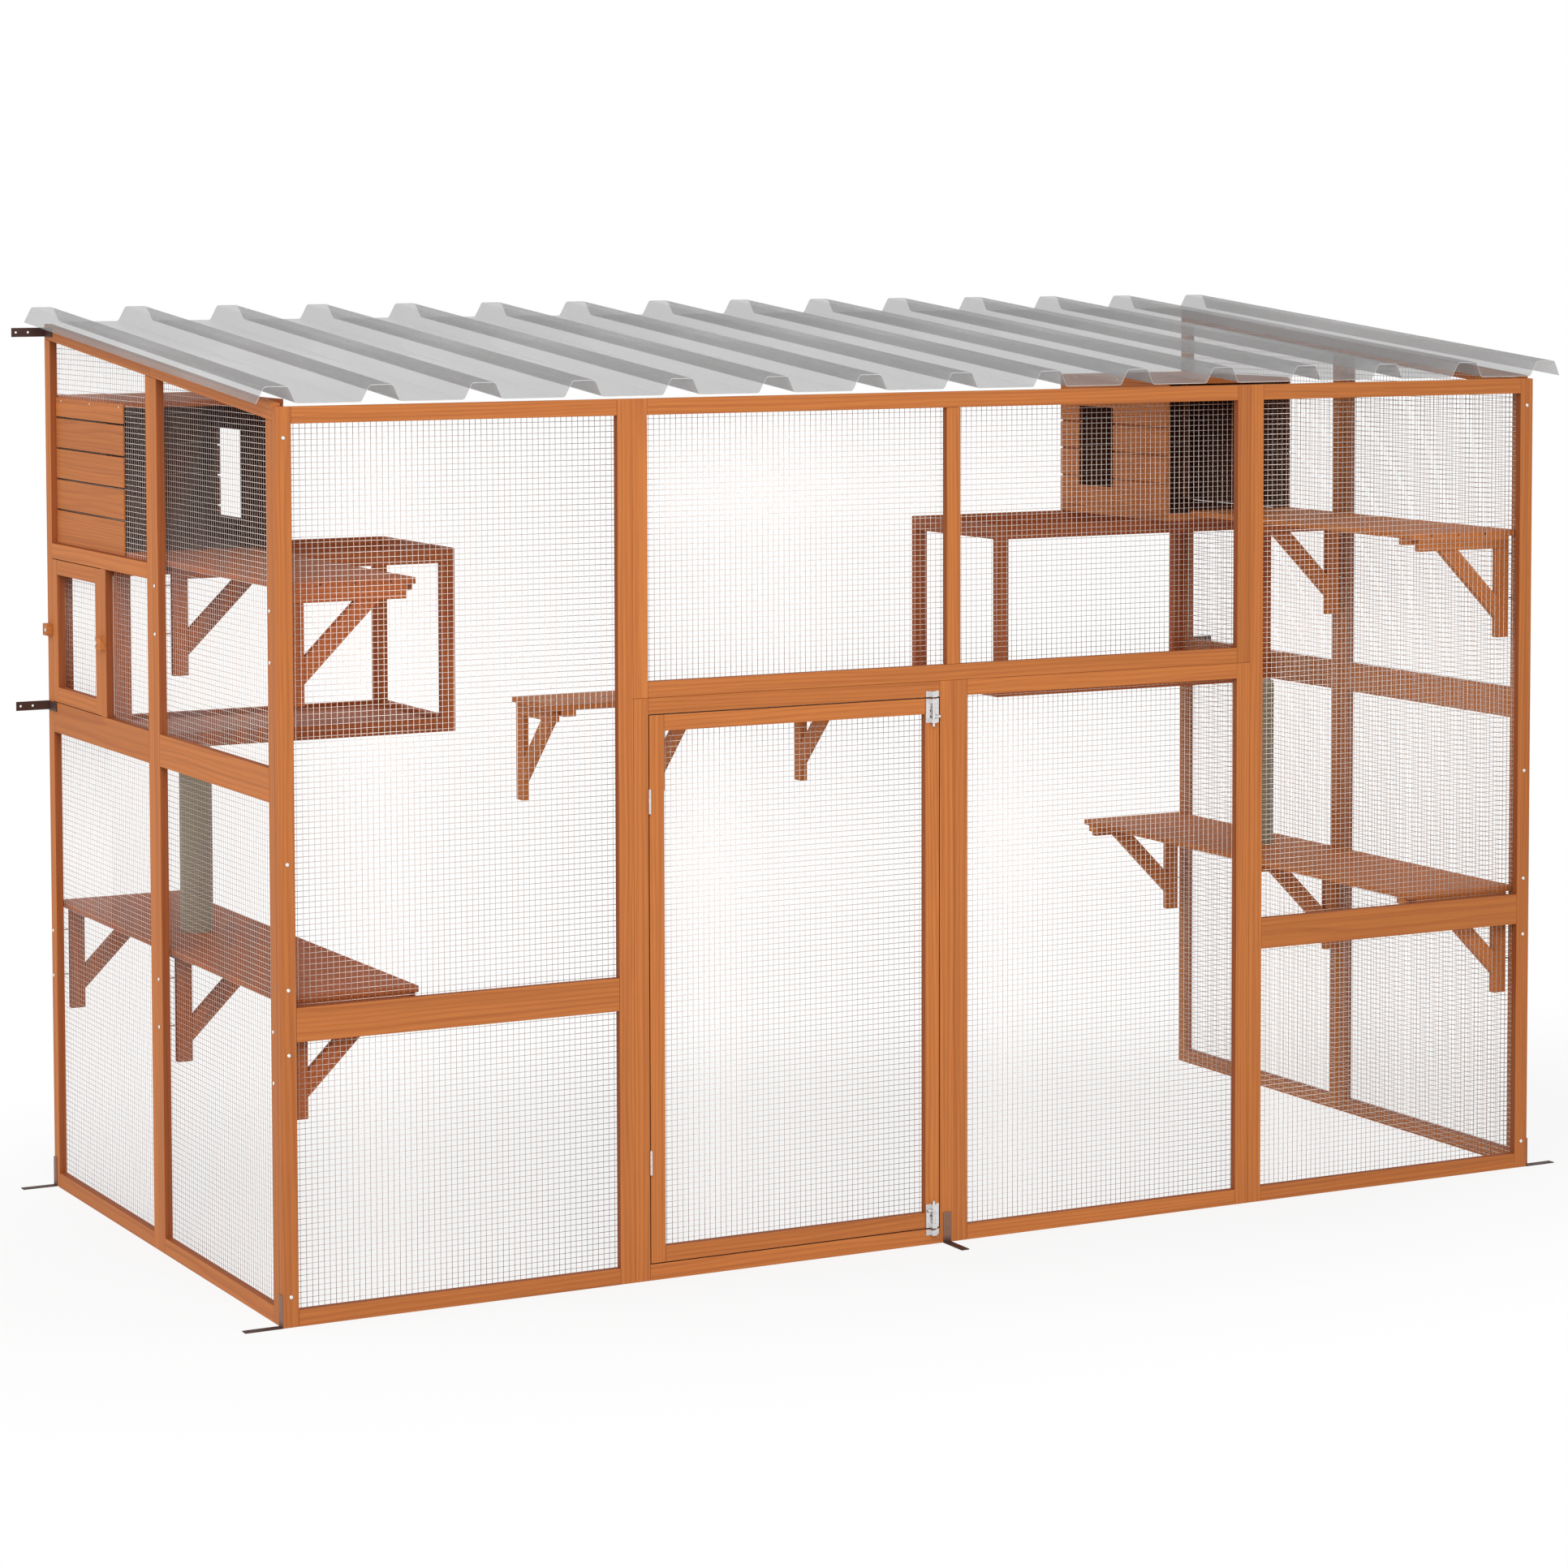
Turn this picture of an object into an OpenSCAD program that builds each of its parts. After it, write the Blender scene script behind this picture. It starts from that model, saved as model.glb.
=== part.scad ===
// Window box catio: a lean-to cat enclosure of wood battens and wire mesh for a house wall,
// with a lift-out hatch, a bolted door, two window boxes, two cat houses and shelves.
// Millimetres, +Z up. The front wall faces -Y and the open back stands against the house.

/* [Enclosure] */
// Width over the outer faces of the two side walls
enclosure_w = 3000; // [2600:10:3400]
// Depth from the front wall's face to the house wall
enclosure_d = 1410; // [1340:5:1600]
// Height of the front wall
front_h = 1788; // [1700:2:1900]
// Slope of the roof, degrees
roof_slope = 5.2; // [4:0.1:8]
// Width of each outer panel of the front wall
outer_panel_w = 758.5; // [600:0.5:850]
// Height of the door bay, up to the joint under the upper panel
door_bay_h = 1186; // [1120:2:1240]
// Height of the side walls' top edge above the front wall's, at the corner
eave_step = 6; // [4:0.5:12]

/* [Battens] */
// Face width of a batten
batten_w = 33; // [28:0.5:40]
// Thickness of a batten
batten_t = 18; // [15:0.5:22]
// Face width of the rail across the middle of the outer panels and side walls
mid_rail_w = 67; // [50:1:90]
// Height of the front wall's middle rails
front_mid_z = 557; // [500:1:700]
// Height of the side walls' middle rails
side_mid_z = 1020; // [960:1:1060]
// Gap at the joints between pieces
joint_gap = 0.3; // [0.2:0.05:0.5]

/* [Wire mesh] */
// Thickness of the mesh
net_t = 1.2; // [1:0.1:2]
// Spacing of the strands that are drawn
net_pitch = 180; // [160:5:240]
// Width of a drawn strand
net_strand = 8; // [4:1:14]
// Margin of a mesh inside its panel's outline
net_margin = 6; // [4:1:10]

/* [Door] */
// Gap around the door leaf
door_gap = 2; // [1.5:0.1:3]
// Height of a door hinge
hinge_h = 48; // [40:1:60]
// Depth of each hinge leaf, back along the edges of the door and its surround
hinge_leaf_d = 15; // [10:0.5:17]
// Height of the lower hinge's foot
hinge_low_z = 218; // [150:1:260]
// Distance from the leaf's top down to the upper hinge's top
hinge_top_drop = 150; // [100:1:250]
// Radius of the hinge knuckle
knuckle_r = 2.8; // [2.5:0.1:4]
// Radius of the hinge pin
hinge_pin_r = 1.4; // [1.2:0.1:1.5]

/* [Barrel bolts] */
// Width of a bolt's plate
bolt_plate_w = 30; // [26:1:32]
// Height of a bolt's plate
bolt_plate_h = 50; // [44:1:60]
// Radius of the bolt's rod
bolt_rod_r = 3; // [2.5:0.1:3.5]
// Travel of a bolt into its keeper
bolt_travel = 12; // [9:0.5:14]
// Height of a guide loop
guide_h = 9; // [7:0.5:11]
// Height of a keeper
keeper_h = 12; // [10:0.5:14]
// Thickness of bolt plates and keeper plates
plate_t = 1.5; // [1:0.1:2]
// Diameter of the screw holes in a bolt's plate
plate_hole_d = 4; // [3:0.5:5]

/* [Hatch] */
// Width of the hatch opening in the left side wall
hatch_open_w = 328; // [280:1:340]
// Height of the hatch opening, up from the side walls' middle rail
hatch_open_h = 318; // [290:1:340]
// Gap around the hatch panel
hatch_gap = 1.5; // [1:0.1:2.5]
// Length of a wooden turn button
button_len = 32; // [30:0.5:32.5]
// Height of a turn button
button_h = 26; // [20:0.5:32]
// Thickness of a turn button
button_t = 12; // [9:0.5:16]
// Distance from a turn button's screw to its short end
button_short = 8; // [6:0.5:10]

/* [Window boxes] */
// Length of a window box along the house wall
box_len = 783; // [700:1:850]
// Depth of a window box
box_depth = 409; // [380:1:440]
// Distance of a window box's underside below the foot of the side walls' middle rail
box_drop = 5; // [0:1:20]
// Height of a window box
box_h = 408; // [385:1:430]
// Thickness of a window box's floor
box_floor_t = 13; // [10:0.5:18]

/* [Cat houses] */
// Width of a cat house
condo_w = 356; // [320:1:420]
// Depth of a cat house
condo_d = 480; // [440:1:520]
// Depth of a cat house's roof below the top edge of the side wall's back stile
condo_headroom = 155; // [135:1:180]
// Thickness of a cat house's floor
condo_floor_t = 18; // [12:0.5:20]
// Thickness of a cat house's wall and roof boards
condo_wall_t = 12; // [9:0.5:16]
// Pitch of the wall boards
board_pitch = 67.6; // [60:0.1:80]
// Height of the groove between inner boards and of the gap between outer ones
groove_h = 4; // [2:0.5:6]
// Depth of the groove between wall boards
groove_d = 6; // [3:0.5:8]
// Thickness of the outer boards, which lie on the mesh between the side wall's stiles
outer_board_t = 4; // [3:0.5:10]
// Rise of the uppermost outer board above the other walls
outer_board_rise = 8; // [0:0.5:12]
// Width of the window in the inner wall
window_w = 155; // [120:1:180]
// Height of the wall above the window
window_lintel = 64; // [40:1:90]
// Height of the window's sill above the floor
window_sill = 51; // [40:1:70]
// Distance from the cat house's back to the window
window_back = 88; // [80:1:140]

/* [Shelves] */
// Thickness of every shelf board
shelf_t = 13; // [10:0.5:16]
// Width of the shelves along the side walls
shelf_w = 284; // [240:1:320]
// Distance from the front wall's mesh to the shelves' and platforms' front ends
shelf_front_gap = 15; // [8:1:20]
// Height of the low shelves' top
shelf_z = 640; // [560:1:720]
// Step up from a cat house's floor to the high platform in front of it
platform_step = 5.7; // [0:0.1:10]
// Distance from the left wall's outer face to the left end of the shelf on the house wall
wall_shelf_x = 1122; // [900:1:1200]
// Length of the shelf on the house wall
wall_shelf_len = 776; // [640:2:900]
// Distance from that shelf's left end to its middle bracket
wall_shelf_middle = 364; // [280:1:420]
// Depth of the shelf on the house wall
wall_shelf_d = 225; // [200:1:260]

/* [Shelf brackets] */
// Height of a bracket, from its leg's foot to the shelf
bracket_h = 229; // [215:1:260]
// Depth of a bracket's leg, out from the wall
leg_w = 33; // [28:0.5:40]
// Height of a bracket's arm
arm_h = 28; // [22:0.5:34]
// Width of a bracket's strut
strut_w = 36; // [28:0.5:40]
// Height of the strut's heel above the leg's foot
strut_heel = 43; // [35:1:60]
// Distance that a shelf stands out past its brackets' arms
arm_set_back = 20; // [10:1:25]
// Gap between a side wall's mesh and the legs and arms of its brackets
leg_gap = 17; // [10:0.5:20]
// Thickness of the cleat that lies flat under a shelf beside each arm
cleat_t = 14; // [10:0.5:18]

/* [Scratching posts] */
// Diameter of a sisal post
post_d = 70; // [55:1:85]
// Distance from the side wall's outer face to the post's middle
post_x = 144; // [120:1:180]
// Distance from the front wall's face to the post's middle
post_y = 866; // [780:1:880]

/* [Roof] */
// Thickness of the roof sheet
sheet_t = 1; // [0.8:0.1:2]
// Pitch of the roof's ribs
rib_pitch = 216.6; // [200:0.2:240]
// Width of a rib's flat top
rib_top = 49; // [40:1:60]
// Width of each flank of a rib
rib_flank = 16; // [12:0.5:22]
// Height of a rib
rib_h = 33; // [28:0.5:38]
// Distance that the sheet stands out past the left side wall
roof_left = 36.5; // [20:0.5:38]
// Distance from the front wall's face back to the sheet's front edge
roof_front = 5; // [0:0.5:15]
// Distance that the sheet stands out past the house wall plane
roof_back = 28; // [0:1:40]

/* [Fixings] */
// Thickness of the metal brackets
metal_t = 2; // [1.5:0.1:3]
// Length of a ground bracket's foot
foot_len = 78; // [77:1:100]
// Height of a ground bracket's upright
foot_h = 65; // [50:1:90]
// Length of a wall bracket's leg on the house wall
wall_leg = 75; // [60:1:76]
// Length of a wall bracket's leg on the side wall
side_leg = 58; // [45:1:70]
// Width of the wall brackets
wall_strap_w = 20; // [18:0.5:26]
// Diameter of the holes in the metal brackets
bracket_hole_d = 5; // [4:0.1:6]
// Diameter of a wood screw's head
screw_head_d = 9; // [7:0.5:11]
// Height of a wood screw's head
screw_head_h = 2; // [1:0.1:3]
// Diameter of a wood screw's shank
shank_d = 4; // [3:0.5:5]
// Distance between the two screws of a shelf bracket
bracket_screw_span = 100; // [70:1:130]
// Depth of those screws' upper one below the arm, under a high platform
platform_screw_drop = 13; // [10:1:40]
// Depth of those screws' upper one below the arm, under a low shelf
shelf_screw_drop = 25; // [10:1:40]

/* [Hidden] */

wood = "#C47541";
inner_wood = "#A0532D";
galvanised = "#D8D8DA";
brown_steel = "#3A1F17";
sisal = "#7A7560";
round_fn = 48;
// Sides of a screw's or pin's head, of a plain screw hole and of a screw's shank
head_sides = 8;
hole_sides = 8;
shank_sides = 6;

// Front wall
middle_x0 = outer_panel_w;
middle_x1 = enclosure_w - outer_panel_w;
middle_x = enclosure_w / 2;
middle_w = middle_x1 - middle_x0;
lower_w = middle_w / 2;

// Side walls: two panels behind the front wall, and the line of their top edge
side_y0 = batten_t;
side_panel_w = (enclosure_d - side_y0) / 2;
panel_joint_y = side_y0 + side_panel_w;
slope_rise = tan(roof_slope);
rail_drop = batten_w / cos(roof_slope);
function side_top(y) = front_h + eave_step + slope_rise * (y - side_y0);

// What stands inside starts a joint's gap off the mesh
inner_face = batten_t + net_t + joint_gap;

// Door leaf
leaf_x0 = middle_x0 + batten_w + door_gap;
leaf_x1 = middle_x - joint_gap - batten_w - door_gap;
leaf_z0 = batten_w + door_gap;
leaf_z1 = door_bay_h - joint_gap - batten_w - door_gap;
leaf_w = leaf_x1 - leaf_x0;
leaf_h = leaf_z1 - leaf_z0;

// Hinges: the two leaves fill the gap on the door's left, and the knuckle stands before it
leaf_play = 0.1;
hinge_leaf_t = (door_gap - 3 * leaf_play) / 2;
pivot_x = leaf_x0 - door_gap / 2;
pivot_y = -knuckle_r - joint_gap;
pin_clearance = 0.05;
knuckle_gap = 0.2;
knuckle_h = (hinge_h - 2 * knuckle_gap) / 3;
pin_head_h = 1;
hinge_zs = [hinge_low_z, leaf_z1 - hinge_top_drop - hinge_h];

// Bolts: the rod runs in two guide loops, and its knob travels between them
rod_clearance = 0.1;
keeper_clearance = 0.5;
guide_w = 2 * bolt_rod_r + 6;
guide_depth = 2 * bolt_rod_r + 4;
rod_y = -plate_t - joint_gap - guide_depth / 2;
bolt_x = leaf_x1 - bolt_plate_w / 2 - 2;
plate_inset = 1;
// The plate's screw holes, from the rod's line and from the end away from the keeper
plate_hole_x = 4.5;
plate_hole_zs = [12.5, 25];
knob_r = 3.5;
knob_len = 9;
rod_rest_gap = 3;
rod_bite = bolt_travel - rod_rest_gap;

// Hatch, at the back of the left wall's rear panel
hatch_y1 = enclosure_d - batten_w;
hatch_y0 = hatch_y1 - hatch_open_w;
hatch_z0 = side_mid_z + mid_rail_w;
hatch_head_z = hatch_z0 + hatch_open_h;
button_z = (hatch_z0 + hatch_head_z) / 2;
hatch_panel_y0 = hatch_y0 + hatch_gap;
hatch_panel_y1 = hatch_y1 - hatch_gap;
hatch_panel_z0 = hatch_z0 + hatch_gap;
hatch_panel_z1 = hatch_head_z - hatch_gap;
button_screw_r = 1.75;

// Window boxes and cat houses, against the house wall
box_x1 = inner_face + box_len;
box_y0 = enclosure_d - box_depth;
box_z = side_mid_z - box_drop;
box_top = box_z + box_h;
box_bottom_rail = 31;
box_floor_up = 7;
box_floor_top = box_z + box_floor_up + box_floor_t;
condo_x1 = inner_face + condo_w;
condo_y0 = enclosure_d - condo_d;
condo_floor_z = box_top + joint_gap;
condo_wall_z = condo_floor_z + condo_floor_t + joint_gap;
condo_wall_top = side_top(enclosure_d - batten_t) - condo_headroom - condo_wall_t - joint_gap;
condo_h = condo_wall_top - condo_wall_z;
window_h = condo_h - window_sill - window_lintel;
first_board = board_pitch + 6;

// The high platforms continue the cat houses' floors, and the wall shelf and the posts end
// level with the window boxes' floors
platform_z = condo_floor_z + condo_floor_t + platform_step;
wall_shelf_z = box_floor_top;
post_h = box_floor_top - shelf_z - joint_gap;

// Shelf brackets along a side wall, before the stiles that their screws come through
shelf_y0 = inner_face + shelf_front_gap;
front_bracket_y = shelf_y0;
middle_bracket_y = panel_joint_y - batten_t - 6;
back_bracket_y = enclosure_d - batten_t - 4;
wall_bracket_inset = 10;

// Roof sheet
rib_base = rib_top + 2 * rib_flank;
rib_count = ceil((enclosure_w + roof_left - rib_base) / rib_pitch) + 1;
roof_right_x = -roof_left + (rib_count - 1) * rib_pitch + rib_base;
roof_length = (enclosure_d + roof_back - roof_front) / cos(roof_slope);
roof_z = side_top(roof_front) + joint_gap;

// Wall bracket heights and hole places
wall_bracket_zs = [side_mid_z + mid_rail_w - wall_strap_w, side_top(enclosure_d) - wall_strap_w - 8];
hole_inset = 10;

// The origin is on the ground, in the middle of everything's width and depth
x_lo = min(-foot_len, -roof_left);
x_hi = max(enclosure_w + foot_len, roof_right_x);
y_lo = -foot_len;
y_hi = enclosure_d + roof_back;

module placed() {
    translate([-(x_lo + x_hi) / 2, -(y_lo + y_hi) / 2, 0]) children();
}

// The same thing on the right side wall
module on_right() {
    translate([enclosure_w, 0, 0]) mirror([1, 0, 0]) children();
}

// ---- Battens and panels ----

// A batten in the front wall's plane
module front_batten(x0, x1, z0, z1) {
    translate([x0, 0, z0]) cube([x1 - x0, batten_t, z1 - z0]);
}

// A batten in a side wall's plane
module side_batten(y0, y1, z0, z1) {
    translate([0, y0, z0]) cube([batten_t, y1 - y0, z1 - z0]);
}

// A flat shape given in (Y, Z), as thick as t from x
module side_shape(x, t) {
    translate([x, 0, 0]) rotate([90, 0, 90]) linear_extrude(t) children();
}

// A flat shape given in (X, Z), as thick as t from y back
module front_shape(y, t) {
    translate([0, y + t, 0]) rotate([90, 0, 0]) linear_extrude(t) children();
}

// A rectangular frame: stiles the full height, rails between them at the heights in rails
module front_frame(x0, x1, z0, z1, rails) {
    front_batten(x0, x0 + batten_w, z0, z1);
    front_batten(x1 - batten_w, x1, z0, z1);
    for (r = rails)
        front_batten(x0 + batten_w + joint_gap, x1 - batten_w - joint_gap, r[0], r[1]);
}

// A side wall panel from y0 to y1, with its sloping top rail
module side_frame(y0, y1, rails) {
    for (y = [y0, y1 - batten_w])
        side_shape(0, batten_t)
            polygon([
                [y, 0],
                [y + batten_w, 0],
                [y + batten_w, side_top(y + batten_w) - rail_drop - joint_gap],
                [y, side_top(y) - rail_drop - joint_gap]
            ]);
    side_shape(0, batten_t)
        polygon([
            [y0, side_top(y0) - rail_drop],
            [y1, side_top(y1) - rail_drop],
            [y1, side_top(y1)],
            [y0, side_top(y0)]
        ]);
    for (r = rails)
        side_batten(y0 + batten_w + joint_gap, y1 - batten_w - joint_gap, r[0], r[1]);
}

// The mesh's gaps over a width and height that start at (u, v)
module net_gaps(u, v, w, h) {
    across = floor(w / net_pitch);
    up = floor(h / net_pitch);
    step_u = (w - net_strand) / across;
    step_v = (h - net_strand) / up;
    for (i = [0 : across - 1], j = [0 : up - 1])
        translate([u + net_strand + i * step_u, v + net_strand + j * step_v])
            square([step_u - net_strand, step_v - net_strand]);
}

// A rectangular mesh
module net_rect(u, v, w, h) {
    difference() {
        translate([u, v]) square([w, h]);
        net_gaps(u, v, w, h);
    }
}

// A front panel's mesh, on the back of its frame; it starts at left_margin inside the outline
module front_net(x0, x1, z0, z1, left_margin = net_margin) {
    front_shape(batten_t, net_t)
        net_rect(x0 + left_margin, z0 + net_margin,
                 x1 - x0 - left_margin - net_margin, z1 - z0 - 2 * net_margin);
}

// A side panel's mesh outline, which follows the sloping rail
module side_net_outline(y0, y1) {
    polygon([
        [y0 + net_margin, net_margin],
        [y1 - net_margin, net_margin],
        [y1 - net_margin, side_top(y1 - net_margin) - net_margin],
        [y0 + net_margin, side_top(y0 + net_margin) - net_margin]
    ]);
}

module side_net_flat(y0, y1) {
    difference() {
        side_net_outline(y0, y1);
        net_gaps(y0 + net_margin, net_margin, y1 - y0 - 2 * net_margin,
                 side_top(y0) - rail_drop - net_margin);
    }
}

// ---- Front wall ----

module front_left_frame() {
    color(wood)
        front_frame(0, outer_panel_w - joint_gap, 0, front_h, [
            [0, batten_w],
            [front_mid_z, front_mid_z + mid_rail_w],
            [front_h - batten_w, front_h]
        ]);
}

module front_right_frame() {
    on_right() front_left_frame();
}

module front_upper_frame() {
    z0 = door_bay_h;
    color(wood) {
        front_frame(middle_x0, middle_x1, z0, front_h, [
            [z0, z0 + batten_w],
            [front_h - batten_w, front_h]
        ]);
        front_batten(middle_x - batten_w / 2, middle_x + batten_w / 2,
                     z0 + batten_w + joint_gap, front_h - batten_w - joint_gap);
    }
}

module door_surround() {
    z1 = door_bay_h - joint_gap;
    color(wood)
        front_frame(middle_x0, middle_x - joint_gap, 0, z1, [
            [0, batten_w],
            [z1 - batten_w, z1]
        ]);
}

module front_lower_frame() {
    z1 = door_bay_h - joint_gap;
    color(wood)
        front_frame(middle_x, middle_x1, 0, z1, [
            [0, batten_w],
            [z1 - batten_w, z1]
        ]);
}

// The outer meshes stop short of the side walls' corner stiles
module front_left_net() {
    color(galvanised) front_net(0, outer_panel_w, 0, front_h, batten_t + joint_gap);
}

module front_right_net() {
    on_right() front_left_net();
}

module front_upper_net() {
    color(galvanised) front_net(middle_x0, middle_x1, door_bay_h, front_h);
}

module front_lower_net() {
    color(galvanised) front_net(middle_x, middle_x1, 0, door_bay_h);
}

// ---- Side walls ----

base_and_middle = [[0, batten_w], [side_mid_z, side_mid_z + mid_rail_w]];

module left_front_frame() {
    color(wood) side_frame(side_y0 + joint_gap, panel_joint_y - joint_gap, base_and_middle);
}

module plain_back_frame() {
    color(wood) side_frame(panel_joint_y, enclosure_d, base_and_middle);
}

// The left wall's rear panel also has a rail over the hatch and a mullion beside it
module left_back_frame() {
    plain_back_frame();
    color(wood) {
        side_batten(panel_joint_y + batten_w + joint_gap, enclosure_d - batten_w - joint_gap,
                    hatch_head_z, hatch_head_z + batten_w);
        side_batten(hatch_y0 - batten_w, hatch_y0, hatch_z0 + joint_gap, hatch_head_z - joint_gap);
    }
}

module right_front_frame() {
    on_right() left_front_frame();
}

module right_back_frame() {
    on_right() plain_back_frame();
}

module left_front_net() {
    color(galvanised)
        side_shape(batten_t, net_t) side_net_flat(side_y0, panel_joint_y);
}

module plain_back_net() {
    color(galvanised)
        side_shape(batten_t, net_t) side_net_flat(panel_joint_y, enclosure_d);
}

// The left rear mesh stops round the hatch opening
module left_back_net() {
    color(galvanised)
        side_shape(batten_t, net_t)
            difference() {
                side_net_outline(panel_joint_y, enclosure_d);
                net_gaps(panel_joint_y + net_margin, net_margin,
                         enclosure_d - panel_joint_y - 2 * net_margin, side_mid_z);
                net_gaps(panel_joint_y + net_margin, hatch_head_z + batten_w,
                         enclosure_d - panel_joint_y - 2 * net_margin,
                         side_top(panel_joint_y) - rail_drop - hatch_head_z - batten_w);
                net_gaps(panel_joint_y + net_margin, hatch_z0,
                         hatch_y0 - batten_w - panel_joint_y - net_margin,
                         hatch_head_z - hatch_z0);
                translate([hatch_y0, hatch_z0])
                    square([hatch_open_w, hatch_head_z - hatch_z0]);
            }
}

module right_front_net() {
    on_right() left_front_net();
}

module right_back_net() {
    on_right() plain_back_net();
}

// ---- Door ----

module door_frame() {
    color(wood)
        front_frame(leaf_x0, leaf_x1, leaf_z0, leaf_z1, [
            [leaf_z0, leaf_z0 + batten_w],
            [leaf_z1 - batten_w, leaf_z1]
        ]);
}

module door_net() {
    color(galvanised) front_net(leaf_x0, leaf_x1, leaf_z0, leaf_z1);
}

// The flat of a hinge leaf on the edge of the wood, back from y0
module leaf_flat(side, y0, z, h) {
    x0 = side > 0 ? leaf_play / 2 : -leaf_play / 2 - hinge_leaf_t;
    translate([pivot_x + x0, y0, z]) cube([hinge_leaf_t, hinge_leaf_d - y0, h]);
}

// A leaf's flat is joined to its own knuckles and cut back beside the other leaf's
module hinge_leaf(side, zs, z_foot) {
    difference() {
        union() {
            leaf_flat(side, pivot_y + knuckle_r + joint_gap, z_foot, hinge_h);
            for (z = zs) {
                leaf_flat(side, pivot_y, z, knuckle_h);
                translate([pivot_x, pivot_y, z]) cylinder(r = knuckle_r, h = knuckle_h, $fn = round_fn);
            }
        }
        translate([pivot_x, pivot_y, z_foot - 1])
            cylinder(r = hinge_pin_r + pin_clearance, h = hinge_h + 2, $fn = round_fn);
    }
}

module door_hinge_leaves() {
    color(galvanised)
        for (z = hinge_zs)
            hinge_leaf(1, [z + knuckle_h + knuckle_gap], z);
}

module surround_hinge_leaves() {
    color(galvanised)
        for (z = hinge_zs)
            hinge_leaf(-1, [z, z + hinge_h - knuckle_h], z);
}

// A pin ends inside its two heads, which lie just past the knuckles
module hinge_pins() {
    color(galvanised)
        for (z = hinge_zs)
            translate([pivot_x, pivot_y, z]) {
                translate([0, 0, -knuckle_gap - pin_head_h / 2])
                    cylinder(r = hinge_pin_r, h = hinge_h + 2 * knuckle_gap + pin_head_h,
                             $fn = round_fn);
                for (end = [-knuckle_gap - pin_head_h, hinge_h + knuckle_gap])
                    translate([0, 0, end])
                        cylinder(r = hinge_pin_r + 1, h = pin_head_h, $fn = head_sides);
            }
}

// A loop that the rod runs through, standing on its plate, from z up to z + h
module guide_loop(z, h, clearance) {
    difference() {
        translate([bolt_x - guide_w / 2, rod_y - guide_depth / 2, z])
            cube([guide_w, guide_depth, h]);
        translate([bolt_x, rod_y, z - 1])
            cylinder(r = bolt_rod_r + clearance, h = h + 2, $fn = round_fn);
    }
}

module steel_plate(z, h) {
    translate([bolt_x - bolt_plate_w / 2, -joint_gap - plate_t, z])
        cube([bolt_plate_w, plate_t, h]);
}

top_plate_z = leaf_z1 - plate_inset - bolt_plate_h;
bottom_plate_z = leaf_z0 + plate_inset;

// The plate's two screw holes, from the end at z; up is 1 or -1
module plate_holes(z, up) {
    for (d = plate_hole_zs)
        translate([bolt_x - plate_hole_x, 1, z + up * d]) rotate([90, 0, 0])
            cylinder(d = plate_hole_d, h = plate_t + 3, $fn = hole_sides);
}

module bolt_plates() {
    color(galvanised) {
        for (z = [bottom_plate_z, top_plate_z])
            for (end = [z, z + bolt_plate_h - guide_h])
                guide_loop(end, guide_h, rod_clearance);
        difference() {
            steel_plate(top_plate_z, bolt_plate_h);
            plate_holes(top_plate_z, 1);
        }
        difference() {
            steel_plate(bottom_plate_z, bolt_plate_h);
            plate_holes(bottom_plate_z + bolt_plate_h, -1);
        }
    }
}

// The withdrawn rods end just past their plates, and the keepers start a little beyond
top_rod_end = top_plate_z + bolt_plate_h + 1;
bottom_rod_end = bottom_plate_z - 1;

module bolt_keepers() {
    color(galvanised)
        for (z = [top_rod_end + rod_rest_gap, bottom_rod_end - rod_rest_gap - keeper_h]) {
            guide_loop(z, keeper_h, keeper_clearance);
            steel_plate(z, keeper_h);
        }
}

// A rod stays in both loops of its plate over the whole travel
rod_len = bolt_plate_h + 1 + bolt_travel - guide_h / 2;

// A rod with its knob, from z up; the knob points to side * X
module bolt_rod(z, knob_z, side) {
    color(galvanised)
        translate([bolt_x, rod_y, 0]) {
            translate([0, 0, z]) cylinder(r = bolt_rod_r, h = rod_len, $fn = round_fn);
            translate([0, 0, knob_z]) rotate([0, side * 90, 0]) {
                cylinder(r = bolt_rod_r - 0.5, h = guide_w / 2 + knob_len, $fn = round_fn);
                translate([0, 0, guide_w / 2 + 1])
                    cylinder(r = knob_r, h = knob_len - 1, $fn = round_fn);
            }
        }
}

knob_free = knob_r + 0.5;

module top_bolt() {
    bolt_rod(top_rod_end - rod_len, top_plate_z + guide_h + knob_free, 1);
}

module bottom_bolt() {
    bolt_rod(bottom_rod_end, bottom_plate_z + bolt_plate_h - guide_h - knob_free, -1);
}

// ---- Hatch ----

module hatch_frame() {
    y0 = hatch_panel_y0;
    y1 = hatch_panel_y1;
    z0 = hatch_panel_z0;
    z1 = hatch_panel_z1;
    color(wood) {
        side_batten(y0, y0 + batten_w, z0, z1);
        side_batten(y1 - batten_w, y1, z0, z1);
        for (z = [z0, z1 - batten_w])
            side_batten(y0 + batten_w + joint_gap, y1 - batten_w - joint_gap, z, z + batten_w);
    }
}

module hatch_net() {
    w = hatch_panel_y1 - hatch_panel_y0 - 2 * net_margin;
    h = hatch_panel_z1 - hatch_panel_z0 - 2 * net_margin;
    color(galvanised)
        side_shape(batten_t, net_t)
            net_rect(hatch_panel_y0 + net_margin, hatch_panel_z0 + net_margin, w, h);
}

// A turn button with its screw hole at y; its long arm points to side * Y
module turn_button(y, side) {
    y0 = side > 0 ? y - button_short : y + button_short - button_len;
    color(wood)
        difference() {
            translate([-joint_gap - button_t, y0, button_z - button_h / 2])
                cube([button_t, button_len, button_h]);
            translate([1, y, button_z]) rotate([0, -90, 0])
                cylinder(r = button_screw_r + pin_clearance, h = button_t + 3, $fn = round_fn);
        }
}

back_button_y = hatch_y1 + button_short;
front_button_y = hatch_y0 - button_short;

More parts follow.
